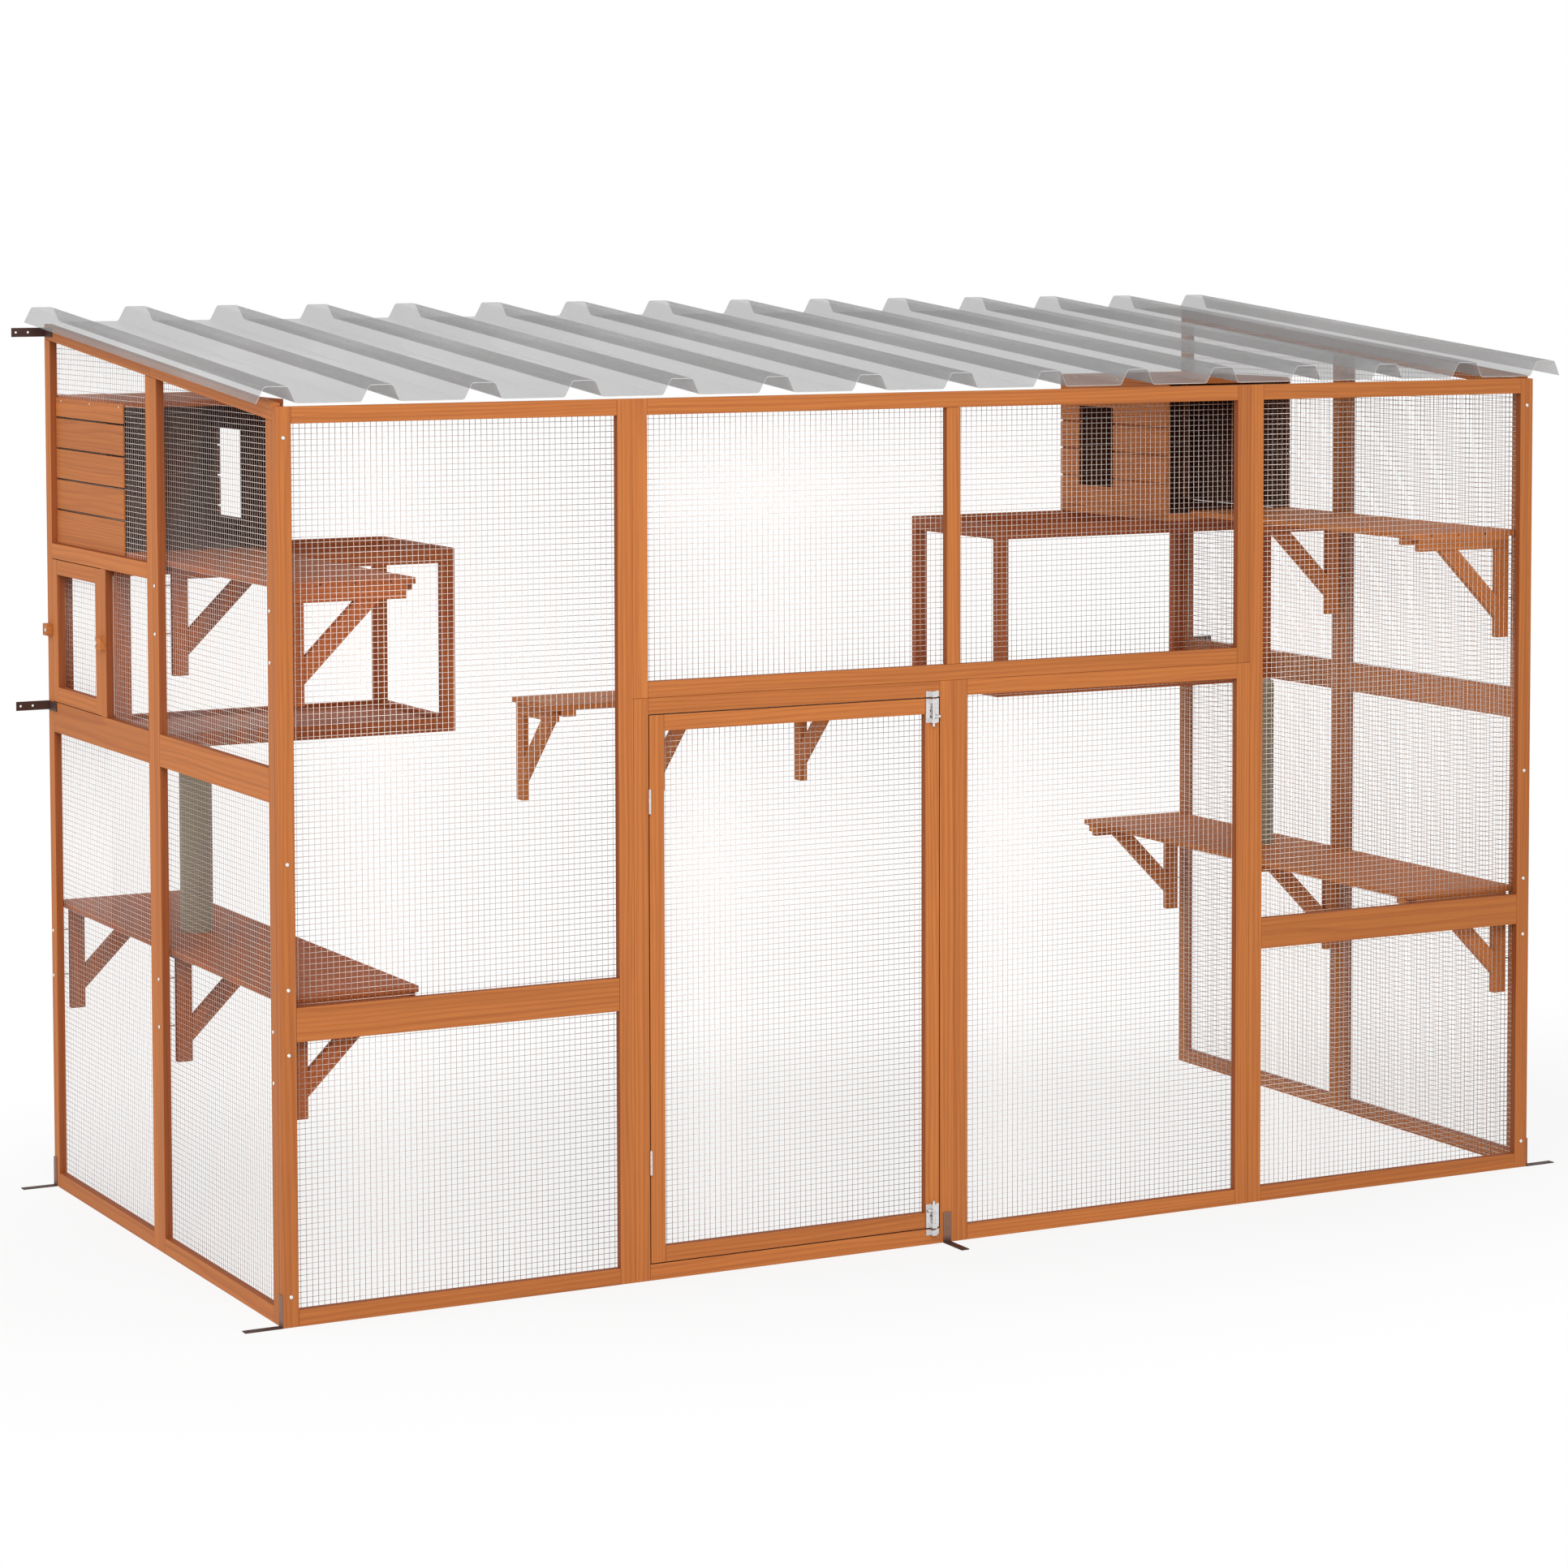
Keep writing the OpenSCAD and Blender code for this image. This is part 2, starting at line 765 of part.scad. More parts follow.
module back_turn_button() {
    turn_button(back_button_y, 1);
}

module front_turn_button() {
    turn_button(front_button_y, -1);
}

// Each screw's shank stands on the wood, and its head holds the button
module turn_button_screws() {
    color(galvanised)
        for (y = [back_button_y, front_button_y])
            translate([0, y, button_z]) rotate([0, -90, 0]) {
                cylinder(r = button_screw_r, h = button_t + 2.5 * joint_gap, $fn = round_fn);
                translate([0, 0, button_t + 2 * joint_gap])
                    cylinder(d = screw_head_d, h = screw_head_h, $fn = head_sides);
            }
}

// ---- Roof ----

// The sheet's lower line over one rib that starts at x
function rib_points(x, z) = [
    [x, z],
    [x + rib_flank, z + rib_h],
    [x + rib_flank + rib_top, z + rib_h],
    [x + rib_base, z]
];

function sheet_line(z) = [
    for (i = [0 : rib_count - 1]) each rib_points(-roof_left + i * rib_pitch, z)
];

function reversed(list) = [for (i = [len(list) - 1 : -1 : 0]) list[i]];

module roof_sheet() {
    color("#C8C8C8", 0.6)
        translate([0, roof_front, roof_z])
            rotate([roof_slope, 0, 0])
                translate([0, roof_length, 0])
                    rotate([90, 0, 0])
                        linear_extrude(roof_length)
                            polygon(concat(sheet_line(0), reversed(sheet_line(sheet_t))));
}

// ---- Window boxes ----

module left_box_frame() {
    x0 = inner_face;
    x1 = box_x1;
    color(inner_wood) {
        for (y = [box_y0, enclosure_d - batten_t])
            translate([0, y, 0]) {
                front_batten(x0, x0 + batten_w, box_z, box_top);
                front_batten(x1 - batten_w, x1, box_z, box_top);
                front_batten(x0 + batten_w + joint_gap, x1 - batten_w - joint_gap,
                             box_z, box_z + box_bottom_rail);
                front_batten(x0 + batten_w + joint_gap, x1 - batten_w - joint_gap,
                             box_top - batten_w, box_top);
            }
        for (x = [x0, x1 - batten_t], z = [[box_z, box_bottom_rail], [box_top - batten_w, batten_w]])
            translate([x, box_y0 + batten_t + joint_gap, z[0]])
                cube([batten_t, box_depth - 2 * batten_t - 2 * joint_gap, z[1]]);
    }
}

module left_box_floor() {
    edge = batten_t + joint_gap;
    color(inner_wood)
        translate([inner_face + edge, box_y0 + edge, box_z + box_floor_up])
            cube([box_len - 2 * edge, box_depth - 2 * edge, box_floor_t]);
}

module right_box_frame() {
    on_right() left_box_frame();
}

module right_box_floor() {
    on_right() left_box_floor();
}

// ---- Cat houses ----

module left_condo_floor() {
    color(inner_wood)
        translate([inner_face, condo_y0, condo_floor_z]) cube([condo_w, condo_d, condo_floor_t]);
}

// The heights at which one wall board ends and the next starts, from the wall's foot to its top
function board_cuts(foot) = concat(
    [foot],
    [for (z = [condo_wall_z + first_board : board_pitch : condo_wall_top - 2 * groove_h]) z],
    [condo_wall_top]
);

// A board's section as (depth, height): its upper outer edge is cut away, except on the top one
module board_section(h, groove) {
    difference() {
        square([condo_wall_t, h]);
        translate([-1, h - groove]) square([groove_d + 1, groove + 1]);
    }
}

// A wall of boards along +Y, with its outer face at X = 0
module board_wall(length) {
    cuts = board_cuts(condo_wall_z);
    last = len(cuts) - 2;
    for (i = [0 : last]) {
        h = cuts[i + 1] - cuts[i] - (i == last ? 0 : joint_gap);
        translate([0, length, cuts[i]])
            rotate([90, 0, 0]) linear_extrude(length) board_section(h, i == last ? 0 : groove_h);
    }
}

// The outer boards lie on the mesh's outside, up to the back stile, with open gaps between them
module outer_boards(foot) {
    cuts = board_cuts(foot);
    last = len(cuts) - 2;
    for (i = [0 : last])
        translate([batten_t - joint_gap - outer_board_t, condo_y0, cuts[i]])
            cube([outer_board_t, enclosure_d - batten_w - joint_gap - condo_y0,
                  cuts[i + 1] - cuts[i] + (i == last ? outer_board_rise : -groove_h)]);
}

module condo_walls(outer_foot) {
    back_w = condo_w - condo_wall_t - joint_gap;
    color(wood) {
        outer_boards(outer_foot);
        translate([inner_face, enclosure_d, 0]) rotate([0, 0, -90]) board_wall(back_w);
    }
}

// On the left the outer wall stands on the rail over the hatch
module left_condo_walls() {
    condo_walls(hatch_head_z + batten_w + joint_gap);
}

module left_condo_window_wall() {
    color(inner_wood)
        difference() {
            translate([condo_x1, condo_y0, 0]) mirror([1, 0, 0]) board_wall(condo_d);
            translate([condo_x1 - condo_wall_t - 1, enclosure_d - window_back - window_w,
                       condo_wall_z + window_sill])
                cube([condo_wall_t + 2, window_w, window_h]);
        }
}

module left_condo_roof() {
    color(inner_wood)
        translate([inner_face, condo_y0, condo_wall_top + joint_gap])
            cube([condo_w, condo_d, condo_wall_t]);
}

module right_condo_floor() {
    on_right() left_condo_floor();
}

module right_condo_walls() {
    on_right() condo_walls(condo_wall_z);
}

module right_condo_window_wall() {
    on_right() left_condo_window_wall();
}

module right_condo_roof() {
    on_right() left_condo_roof();
}

// ---- Shelves and their brackets ----

module left_platform() {
    color(inner_wood)
        translate([inner_face, shelf_y0, platform_z - shelf_t])
            cube([shelf_w, condo_y0 - joint_gap - shelf_y0, shelf_t]);
}

module right_platform() {
    on_right() left_platform();
}

module left_shelf() {
    color(inner_wood)
        translate([inner_face, shelf_y0, shelf_z - shelf_t])
            cube([shelf_w, enclosure_d - shelf_y0, shelf_t]);
}

module right_shelf() {
    on_right() left_shelf();
}

module wall_shelf() {
    color(inner_wood)
        translate([wall_shelf_x, enclosure_d - wall_shelf_d, wall_shelf_z - shelf_t])
            cube([wall_shelf_len, wall_shelf_d, shelf_t]);
}

// A bracket drawn as (out from the leg's back, up): leg, arm and a strut at 45 degrees, each a
// batten, with the cleat beside the arm. shelf_edge is the distance to the shelf's front edge.
module bracket_strut() {
    u = leg_w + joint_gap;
    v = bracket_h - arm_h - joint_gap;
    rise = v - strut_heel;
    cut = strut_w * sqrt(2);
    polygon([
        [u, strut_heel],
        [u + rise, v],
        [u + rise - cut, v],
        [u, strut_heel + cut]
    ]);
}

// The cleat lies on the side that side points to, 1 or -1
module bracket(shelf_edge, side) {
    linear_extrude(batten_t) square([leg_w, bracket_h - arm_h - joint_gap]);
    linear_extrude(batten_t) bracket_strut();
    translate([0, bracket_h - arm_h, 0]) cube([shelf_edge - arm_set_back, arm_h, batten_t]);
    translate([0, bracket_h - cleat_t, side > 0 ? batten_t + joint_gap : -joint_gap - batten_w])
        cube([shelf_edge, cleat_t, batten_w]);
}

// A side wall's bracket under a shelf whose underside is at z. The cleat of the last one lies
// before its arm, and the others' behind.
module side_bracket(y, z) {
    translate([inner_face + leg_gap, y + batten_t, z - joint_gap - bracket_h]) rotate([90, 0, 0])
        bracket(shelf_w - leg_gap, y == back_bracket_y ? 1 : -1);
}

module left_brackets() {
    color(inner_wood) {
        for (y = [front_bracket_y, middle_bracket_y])
            side_bracket(y, platform_z - shelf_t);
        for (y = [front_bracket_y, middle_bracket_y, back_bracket_y])
            side_bracket(y, shelf_z - shelf_t);
    }
}

module right_brackets() {
    on_right() left_brackets();
}

// The house wall's brackets, in planes square to it. The last one's cleat lies on its left.
module wall_shelf_brackets() {
    right_x = wall_shelf_x + wall_shelf_len - wall_bracket_inset - batten_t;
    foot = wall_shelf_z - shelf_t - joint_gap - bracket_h;
    color(inner_wood)
        for (x = [wall_shelf_x + wall_bracket_inset, wall_shelf_x + wall_shelf_middle, right_x])
            translate([x, enclosure_d, foot]) rotate([90, 0, -90]) mirror([0, 0, 1])
                bracket(wall_shelf_d, x == right_x ? -1 : 1);
}

// ---- Scratching posts ----

module left_sisal_post() {
    color(sisal)
        translate([post_x, post_y, shelf_z + joint_gap])
            cylinder(d = post_d, h = post_h, $fn = round_fn);
}

module right_sisal_post() {
    on_right() left_sisal_post();
}

// ---- Metal brackets and screws ----

// A hole through metal, along +Z from the origin. The holes towards the house wall and the
// ground are round, and those towards the bracket's own post are drawn with few sides.
module metal_hole(sides = round_fn) {
    translate([0, 0, -1]) cylinder(d = bracket_hole_d, h = metal_t + 2, $fn = sides);
}

// A ground bracket at a wall face: upright against the face, foot flat on the ground.
// It points to -X, with its width along Y from 0 to batten_t.
module ground_bracket() {
    difference() {
        union() {
            translate([-joint_gap - metal_t, 0, 0]) cube([metal_t, batten_t, foot_h]);
            translate([-foot_len, 0, 0]) cube([foot_len - joint_gap, batten_t, metal_t]);
        }
        for (x = [hole_inset, foot_len - 2 * hole_inset])
            translate([-foot_len + x, batten_t / 2, 0]) metal_hole();
        for (z = [foot_h - hole_inset, foot_h / 2])
            translate([-joint_gap, batten_t / 2, z]) rotate([0, -90, 0]) metal_hole(hole_sides);
    }
}

module ground_brackets() {
    color(brown_steel) {
        for (y = [0, enclosure_d - batten_t]) {
            translate([0, y, 0]) ground_bracket();
            on_right() translate([0, y, 0]) ground_bracket();
        }
        translate([middle_x - batten_w / 2 + batten_t / 2 - joint_gap, 0, 0])
            rotate([0, 0, 90]) ground_bracket();
    }
}

// A wall bracket: one leg on the side wall's outer face, one leg on the house wall
module wall_bracket(z) {
    difference() {
        union() {
            translate([-joint_gap - metal_t, enclosure_d - side_leg, z])
                cube([metal_t, side_leg, wall_strap_w]);
            translate([-wall_leg, enclosure_d - metal_t, z])
                cube([wall_leg - joint_gap, metal_t, wall_strap_w]);
        }
        for (x = [hole_inset, wall_leg / 2])
            translate([-wall_leg + x, enclosure_d, z + wall_strap_w / 2])
                rotate([90, 0, 0]) metal_hole();
        for (y = [hole_inset, side_leg / 2])
            translate([-joint_gap, enclosure_d - side_leg + y, z + wall_strap_w / 2])
                rotate([0, -90, 0]) metal_hole(hole_sides);
    }
}

module wall_brackets() {
    color(brown_steel)
        for (z = wall_bracket_zs) {
            wall_bracket(z);
            on_right() wall_bracket(z);
        }
}

// A screw head on the front wall's face
module front_screw(x, z) {
    translate([x, -joint_gap, z]) rotate([90, 0, 0])
        cylinder(d = screw_head_d, h = screw_head_h, $fn = head_sides);
}

// A screw head on the left wall's outer face
module side_screw(y, z) {
    translate([-joint_gap, y, z]) rotate([0, -90, 0])
        cylinder(d = screw_head_d, h = screw_head_h, $fn = head_sides);
}

// Two screws come through the stile and the mesh into each shelf bracket's leg, and their
// shanks cross the gap before it. z is the shelf's top.
module bracket_screws(y, z, drop) {
    for (d = [drop, drop + bracket_screw_span])
        translate([0, 0, z - shelf_t - arm_h - d]) {
            side_screw(y, 0);
            translate([inner_face, y, 0]) rotate([0, 90, 0])
                cylinder(d = shank_d, h = leg_gap - joint_gap, $fn = shank_sides);
        }
}

corner_screw_x = batten_w / 2;
// Corner screws stand this far from the corner's ends and middle rail
corner_screw_end = 60;
corner_screw_rail = 24;
corner_screw_drop = 268;
// The front brackets' screws, a little behind the legs' front faces, where the stile backs them
front_bracket_screw_y = front_bracket_y + 4;

module frame_screws() {
    heights = [
        corner_screw_end,
        front_mid_z - corner_screw_rail,
        front_mid_z + mid_rail_w + corner_screw_rail + 12,
        (front_mid_z + front_h) / 2 - corner_screw_drop,
        front_h - corner_screw_end
    ];
    color("#E8E2DA") {
        for (z = heights) {
            front_screw(corner_screw_x, z);
            on_right() front_screw(corner_screw_x, z);
        }
        for (y = [front_bracket_screw_y, middle_bracket_y + batten_t / 2]) {
            bracket_screws(y, platform_z, platform_screw_drop);
            on_right() bracket_screws(y, platform_z, platform_screw_drop);
        }
        for (y = [front_bracket_screw_y, middle_bracket_y + batten_t / 2,
                  back_bracket_y + batten_t / 2]) {
            bracket_screws(y, shelf_z, shelf_screw_drop);
            on_right() bracket_screws(y, shelf_z, shelf_screw_drop);
        }
    }
}

placed() front_left_frame();
placed() front_right_frame();
placed() front_upper_frame();
placed() door_surround();
placed() front_lower_frame();
placed() front_left_net();
placed() front_right_net();
placed() front_upper_net();
placed() front_lower_net();
placed() left_front_frame();
placed() left_back_frame();
placed() right_front_frame();
placed() right_back_frame();
placed() left_front_net();
placed() left_back_net();
placed() right_front_net();
placed() right_back_net();
placed() door_frame();
placed() door_net();
placed() door_hinge_leaves();
placed() surround_hinge_leaves();
placed() hinge_pins();
placed() bolt_plates();
placed() bolt_keepers();
placed() top_bolt();
placed() bottom_bolt();
placed() hatch_frame();
placed() hatch_net();
placed() back_turn_button();
placed() front_turn_button();
placed() turn_button_screws();
placed() roof_sheet();
placed() left_box_frame();
placed() left_box_floor();
placed() right_box_frame();
placed() right_box_floor();
placed() left_condo_floor();
placed() left_condo_walls();
placed() left_condo_window_wall();
placed() left_condo_roof();
placed() right_condo_floor();
placed() right_condo_walls();
placed() right_condo_window_wall();
placed() right_condo_roof();
placed() left_platform();
placed() right_platform();
placed() left_shelf();
placed() right_shelf();
placed() wall_shelf();
placed() left_brackets();
placed() right_brackets();
placed() wall_shelf_brackets();
placed() left_sisal_post();
placed() right_sisal_post();
placed() wall_brackets();
placed() ground_brackets();
placed() frame_screws();
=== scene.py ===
# %% [markdown]
# # A window box catio, dressed in Blender
# The enclosure is a kit of stained fir battens and welded wire that stands against a house wall.
# Its engineering model is already made, so this lesson loads that model as a fixed frame and
# gives every piece its real finish around it. Each step says what the piece is on the real
# object, how it could be made, and why it is made this way here.

import math
import random

import bmesh
import bpy
from mathutils import Matrix, Vector
from mathutils.bvhtree import BVHTree


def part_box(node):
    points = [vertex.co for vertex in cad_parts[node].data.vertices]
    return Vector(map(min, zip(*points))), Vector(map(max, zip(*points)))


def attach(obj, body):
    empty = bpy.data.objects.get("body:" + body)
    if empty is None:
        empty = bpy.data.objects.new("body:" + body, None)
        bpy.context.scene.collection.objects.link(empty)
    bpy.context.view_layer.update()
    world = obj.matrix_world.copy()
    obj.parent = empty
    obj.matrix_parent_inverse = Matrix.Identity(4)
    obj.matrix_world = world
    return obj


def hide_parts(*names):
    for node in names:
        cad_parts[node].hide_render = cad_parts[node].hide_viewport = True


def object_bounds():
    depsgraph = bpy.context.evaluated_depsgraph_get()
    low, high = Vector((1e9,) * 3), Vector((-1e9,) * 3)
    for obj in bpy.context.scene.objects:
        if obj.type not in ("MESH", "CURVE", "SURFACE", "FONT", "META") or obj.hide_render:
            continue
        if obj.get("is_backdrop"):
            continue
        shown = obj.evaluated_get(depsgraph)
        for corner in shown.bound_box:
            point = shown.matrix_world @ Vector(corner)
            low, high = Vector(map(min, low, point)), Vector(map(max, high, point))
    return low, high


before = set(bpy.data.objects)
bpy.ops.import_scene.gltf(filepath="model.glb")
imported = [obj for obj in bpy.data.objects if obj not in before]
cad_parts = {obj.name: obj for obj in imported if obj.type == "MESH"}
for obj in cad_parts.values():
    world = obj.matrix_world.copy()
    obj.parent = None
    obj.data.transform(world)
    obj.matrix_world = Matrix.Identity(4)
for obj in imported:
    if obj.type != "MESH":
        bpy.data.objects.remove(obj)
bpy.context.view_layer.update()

# %% [markdown]
# ## Units
# Drawings of garden furniture are in millimetres and Blender works in metres. One factor keeps
# both readable: a length is written as `12 * MM`.

# %% One millimetre
MM = 0.001
print("a 33 mm batten is", 33 * MM, "metres wide")

# %% [markdown]
# ## Colours as people pick them
# A colour read from a photograph or a paint card is an sRGB hex value, while shaders add up
# light and need linear numbers. Typing linear numbers by hand would hide which colour is meant,
# so one function does the change.


# %% From a hex colour to linear light
def colour(hex_value):
    parts = [int(hex_value[i:i + 2], 16) / 255 for i in (1, 3, 5)]
    linear = [c / 12.92 if c <= 0.04045 else ((c + 0.055) / 1.055) ** 2.4 for c in parts]
    return (*linear, 1.0)


print("stained fir is", [round(c, 3) for c in colour("#C47536")])

# %% [markdown]
# ## Building a finish from nodes
# A material is a small network. Clicking it together in the editor would do, but written out
# it can be read and repeated. One function adds any node with its settings, the stops of its
# colour ramp if it has one, and its inputs. An input is either a plain value or the output of an
# earlier node, and it is named, or numbered where several have the same name.


# %% A finish and its nodes
def finish_named(name):
    material = bpy.data.materials.new(name)
    material.use_nodes = True
    material.node_tree.nodes.clear()
    return material.node_tree


def add_node(tree, kind, settings=None, stops=(), **inputs):
    node = tree.nodes.new(kind)
    for key, value in (settings or {}).items():
        setattr(node, key, value)
    if stops:
        ramp = node.color_ramp.elements
        ramp[0].position, ramp[0].color = stops[0]
        ramp[1].position, ramp[1].color = stops[-1]
        for place, tint in stops[1:-1]:
            ramp.new(place).color = tint
    for key, value in inputs.items():
        numbered = key[0] == "i" and key[1:].isdigit()
        socket = node.inputs[int(key[1:]) if numbered else key.replace("_", " ")]
        if isinstance(value, bpy.types.NodeSocket):
            tree.links.new(value, socket)
        else:
            socket.default_value = value
    return node


MULTIPLIED = {"data_type": "RGBA", "blend_type": "MULTIPLY"}
BLENDED = {"data_type": "RGBA"}
print("helpers ready")

# %% [markdown]
# ## From a mesh to a piece
# All pieces end in the same way. The mesh gets its finish and stands at the origin, because the
# frame's own coordinates already put it in place. The piece then rides a body and, where it stands
# for an engineering node, hides that node.


# %% Add a piece
def add_piece(name, mesh, finish, body, node=None):
    data = bpy.data.meshes.new(name)
    mesh.to_mesh(data)
    mesh.free()
    data.materials.append(finish)
    piece = bpy.data.objects.new(name, data)
    bpy.context.scene.collection.objects.link(piece)
    if node:
        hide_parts(node)
    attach(piece, body)


print("pieces can be added")

# %% [markdown]
# ## Stained fir
# The battens are planed fir under an orange-brown, water-based stain. The eye finds three
# things in it: growth rings cut lengthwise, fine fibres, and a slightly different tone on each
# piece, because the stain takes differently. An image would repeat itself over the many pieces.
# Rings worked out from the distance to the middle of the log run through the whole batten, so
# its face, side and end all agree. Each piece carries its own coordinates for that, in an
# attribute named `grain`: X runs along the fibres, and Y and Z across the log.
# Two kinds of face are painted darker, as painted shade, and an attribute named `shade` marks them.
# Half shade is painted shade on the faces that look into a mesh bay, as in a shallow recess. Full
# shade is painted shade for the narrow gaps round a door and for the inside of a cat house, where
# hardly any light comes.

# %% The pattern's sizes and tints
RING = 8 * MM  # growth rings are 3 to 4 mm apart; they are drawn at twice that, so that they show
STREAK = 9 * MM
FIBRE = 1.5 * MM
# how often each pattern repeats in a metre, along the grain and across it
PER_METRE = {"wander": (1.0, 12), "rings": (0, 1 / RING),
             "streaks": (1.2, 1 / STREAK), "fibres": (12, 1 / FIBRE)}
RING_WANDER = 5.0  # how many rings a slow bend in the log shifts them by
STREAKS = [(0.32, (0.88, 0.85, 0.83, 1)), (0.55, (1.02, 1.02, 1.02, 1))]
HAIRS = [(0.3, (0.88, 0.88, 0.88, 1)), (0.7, (1.08, 1.08, 1.08, 1))]
TONES = [(0.0, (0.88, 0.85, 0.82, 1)), (1.0, (1.06, 1.06, 1.06, 1))]
# painted shade: half for faces into a bay, full for door gaps and cat-house insides
SHADES = [(0.0, (1, 1, 1, 1)), (0.5, (0.60, 0.47, 0.42, 1)), (1.0, (0.20, 0.14, 0.12, 1))]
print("rings drawn", RING / MM, "mm apart, fibres", FIBRE / MM, "mm")

# %% [markdown]
# ## The stain's own network
# The rings give the base colour. Four layers are then multiplied over it: streaks, fibres, the
# piece's own tone and the painted shade. The fibres also make the sheen uneven and raise a fine
# relief.


# %% Stained fir
def stained_fir(name, light, dark):
    tree = finish_named(name)
    grain, tone, shade = (
        add_node(tree, "ShaderNodeAttribute", {"attribute_name": attribute}).outputs[output]
        for attribute, output in (("grain", "Vector"), ("tone", "Fac"), ("shade", "Fac")))
    drawn = {what: add_node(tree, "ShaderNodeVectorMath", {"operation": "MULTIPLY"},
                            i0=grain, i1=(along, across, across)).outputs[0]
             for what, (along, across) in PER_METRE.items()}
    wander, streak, fibre = (
        add_node(tree, "ShaderNodeTexNoise", Vector=drawn[what], Scale=1.0,
                 Detail=detail).outputs["Fac"]
        for what, detail in (("wander", 2.0), ("streaks", 2.0), ("fibres", 3.0)))
    radius = add_node(tree, "ShaderNodeVectorMath", {"operation": "LENGTH"},
                      i0=drawn["rings"]).outputs["Value"]
    rings = add_node(tree, "ShaderNodeMath", {"operation": "MULTIPLY_ADD"},
                     i0=wander, i1=RING_WANDER, i2=radius).outputs[0]
    year = add_node(tree, "ShaderNodeMath", {"operation": "FRACT"}, i0=rings).outputs[0]
    summer, winter = colour(light), colour(dark)
    wood = add_node(tree, "ShaderNodeValToRGB", Fac=year,
                    stops=[(0.0, summer), (0.35, summer), (0.85, winter), (1.0, summer)]).outputs[0]
    for share, factor, stops in ((1.0, streak, STREAKS), (0.8, fibre, HAIRS),
                                 (1.0, tone, TONES), (1.0, shade, SHADES)):
        layer = add_node(tree, "ShaderNodeValToRGB", Fac=factor, stops=stops).outputs[0]
        wood = add_node(tree, "ShaderNodeMix", MULTIPLIED, i0=share, i6=wood, i7=layer).outputs[2]
    sheen = add_node(tree, "ShaderNodeMapRange", Value=fibre, From_Min=0.0, From_Max=1.0,
                     To_Min=0.58, To_Max=0.74).outputs["Result"]
    relief = add_node(tree, "ShaderNodeBump", Height=fibre, Strength=0.25,
                      Distance=0.2 * MM).outputs[0]
    shader = add_node(tree, "ShaderNodeBsdfPrincipled", Base_Color=wood, Roughness=sheen,
                      Normal=relief, IOR=1.45)
    add_node(tree, "ShaderNodeOutputMaterial", Surface=shader.outputs[0])
    return bpy.data.materials[name]


FRAME_FIR = stained_fir("stained fir, outside", "#C47536", "#B8692F")
# painted shade: the same stain, darker and redder for the pieces inside the enclosure
SHADED_INNER_FIR = stained_fir("stained fir, inside", "#B05D2A", "#A04E21")
# painted light: the inside stain made lighter for the pieces on the right and on the house wall
LIGHT_PAINTED_FIR = stained_fir("stained fir, inside, paler batch", "#CB7838", "#BA692E")
print("finishes", FRAME_FIR.name, "/", SHADED_INNER_FIR.name, "/", LIGHT_PAINTED_FIR.name)

# %% [markdown]
# ## Planed battens from the frame's own solids
# A timber kit is sawn pieces, planed and with their edges eased by sandpaper. The engineering
# solids have the right sizes but knife edges. Modelling each batten again would only invite
# errors, so each node's mesh is copied and cleaned of its triangles. The loose pieces inside a
# node are then found, always in the same order, so that each run gives the same result.


# %% Find the pieces
def clean_copy(node):
    mesh = bmesh.new()
    mesh.from_mesh(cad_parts[node].data)
    bmesh.ops.remove_doubles(mesh, verts=mesh.verts, dist=0.02 * MM)
    bmesh.ops.dissolve_limit(mesh, angle_limit=math.radians(1), verts=mesh.verts, edges=mesh.edges)
    return mesh


def loose_pieces(mesh):
    reached, found = set(), []
    for first in mesh.verts:
        if first in reached:
            continue
        reached.add(first)
        piece = [first]
        for vertex in piece:  # the list grows while it is walked
            for edge in vertex.link_edges:
                other = edge.other_vert(vertex)
                if other not in reached:
                    reached.add(other)
                    piece.append(other)
        found.append(piece)
    return found


def spans(node):
    mesh = clean_copy(node)
    found = [[(min(v.co[i] for v in piece), max(v.co[i] for v in piece)) for i in range(3)]
             for piece in loose_pieces(mesh)]
    mesh.free()
    return found


print("battens in the door leaf", len(spans("door_frame")))

# %% [markdown]
# ## Which way the grain runs
# Wood is cut with its fibres along the longest edge. Each piece takes its own place in the log
# and its own tone, both drawn from one seeded row of random numbers.

# %% Lay the grain
rng = random.Random(7)
AXES = [Vector(axis) for axis in ((1, 0, 0), (0, 1, 0), (0, 0, 1))]


def grain_axes(piece):
    edges = [edge for vertex in piece for edge in vertex.link_edges]
    longest = max(edges, key=lambda edge: round(edge.calc_length(), 5))
    along = (longest.verts[1].co - longest.verts[0].co).normalized()
    side = max(AXES, key=lambda axis: axis.cross(along).length)
    across = along.cross(side).normalized()
    return along, across, along.cross(across)


def lay_grain(mesh):
    grain = mesh.verts.layers.float_vector.new("grain")
    tone = mesh.verts.layers.float.new("tone")
    pieces = loose_pieces(mesh)
    for piece in pieces:
        axes = grain_axes(piece)
        place = Vector((rng.uniform(0, 20), rng.uniform(0.02, 0.09), rng.uniform(-0.09, 0.09)))
        middle = sum((vertex.co for vertex in piece), Vector()) / len(piece)
        own_tone = rng.random()
        for vertex in piece:
            arm = vertex.co - middle
            vertex[grain] = place + Vector([arm.dot(axis) for axis in axes])
            vertex[tone] = own_tone
    return len(pieces)


print("grain rules ready")

# %% [markdown]
# ## Which faces are shaded
# The rules are geometric, so they work for every frame. A ray from a narrow face, square to it,
# that meets another batten of its own frame shows a face that looks into a bay. Where a door
# fills that bay, both the bay's faces and the door's own outer edges look into a narrow gap. In
# a cat house, the shaded faces are those turned to the middle of its room.

# %% Mark the shaded faces
# levels of painted shade, stored in the `shade` attribute
HALF_SHADE, FULL_SHADE = 0.5, 1.0
FACES_OUT = 0.1  # a face that turns this much to the front or back of its wall isn't narrow
JOINT_AT_MOST = 5 * MM  # a batten nearer than this is a joint, not the far side of a bay
RAY = 2.0  # metres, further than any bay is wide


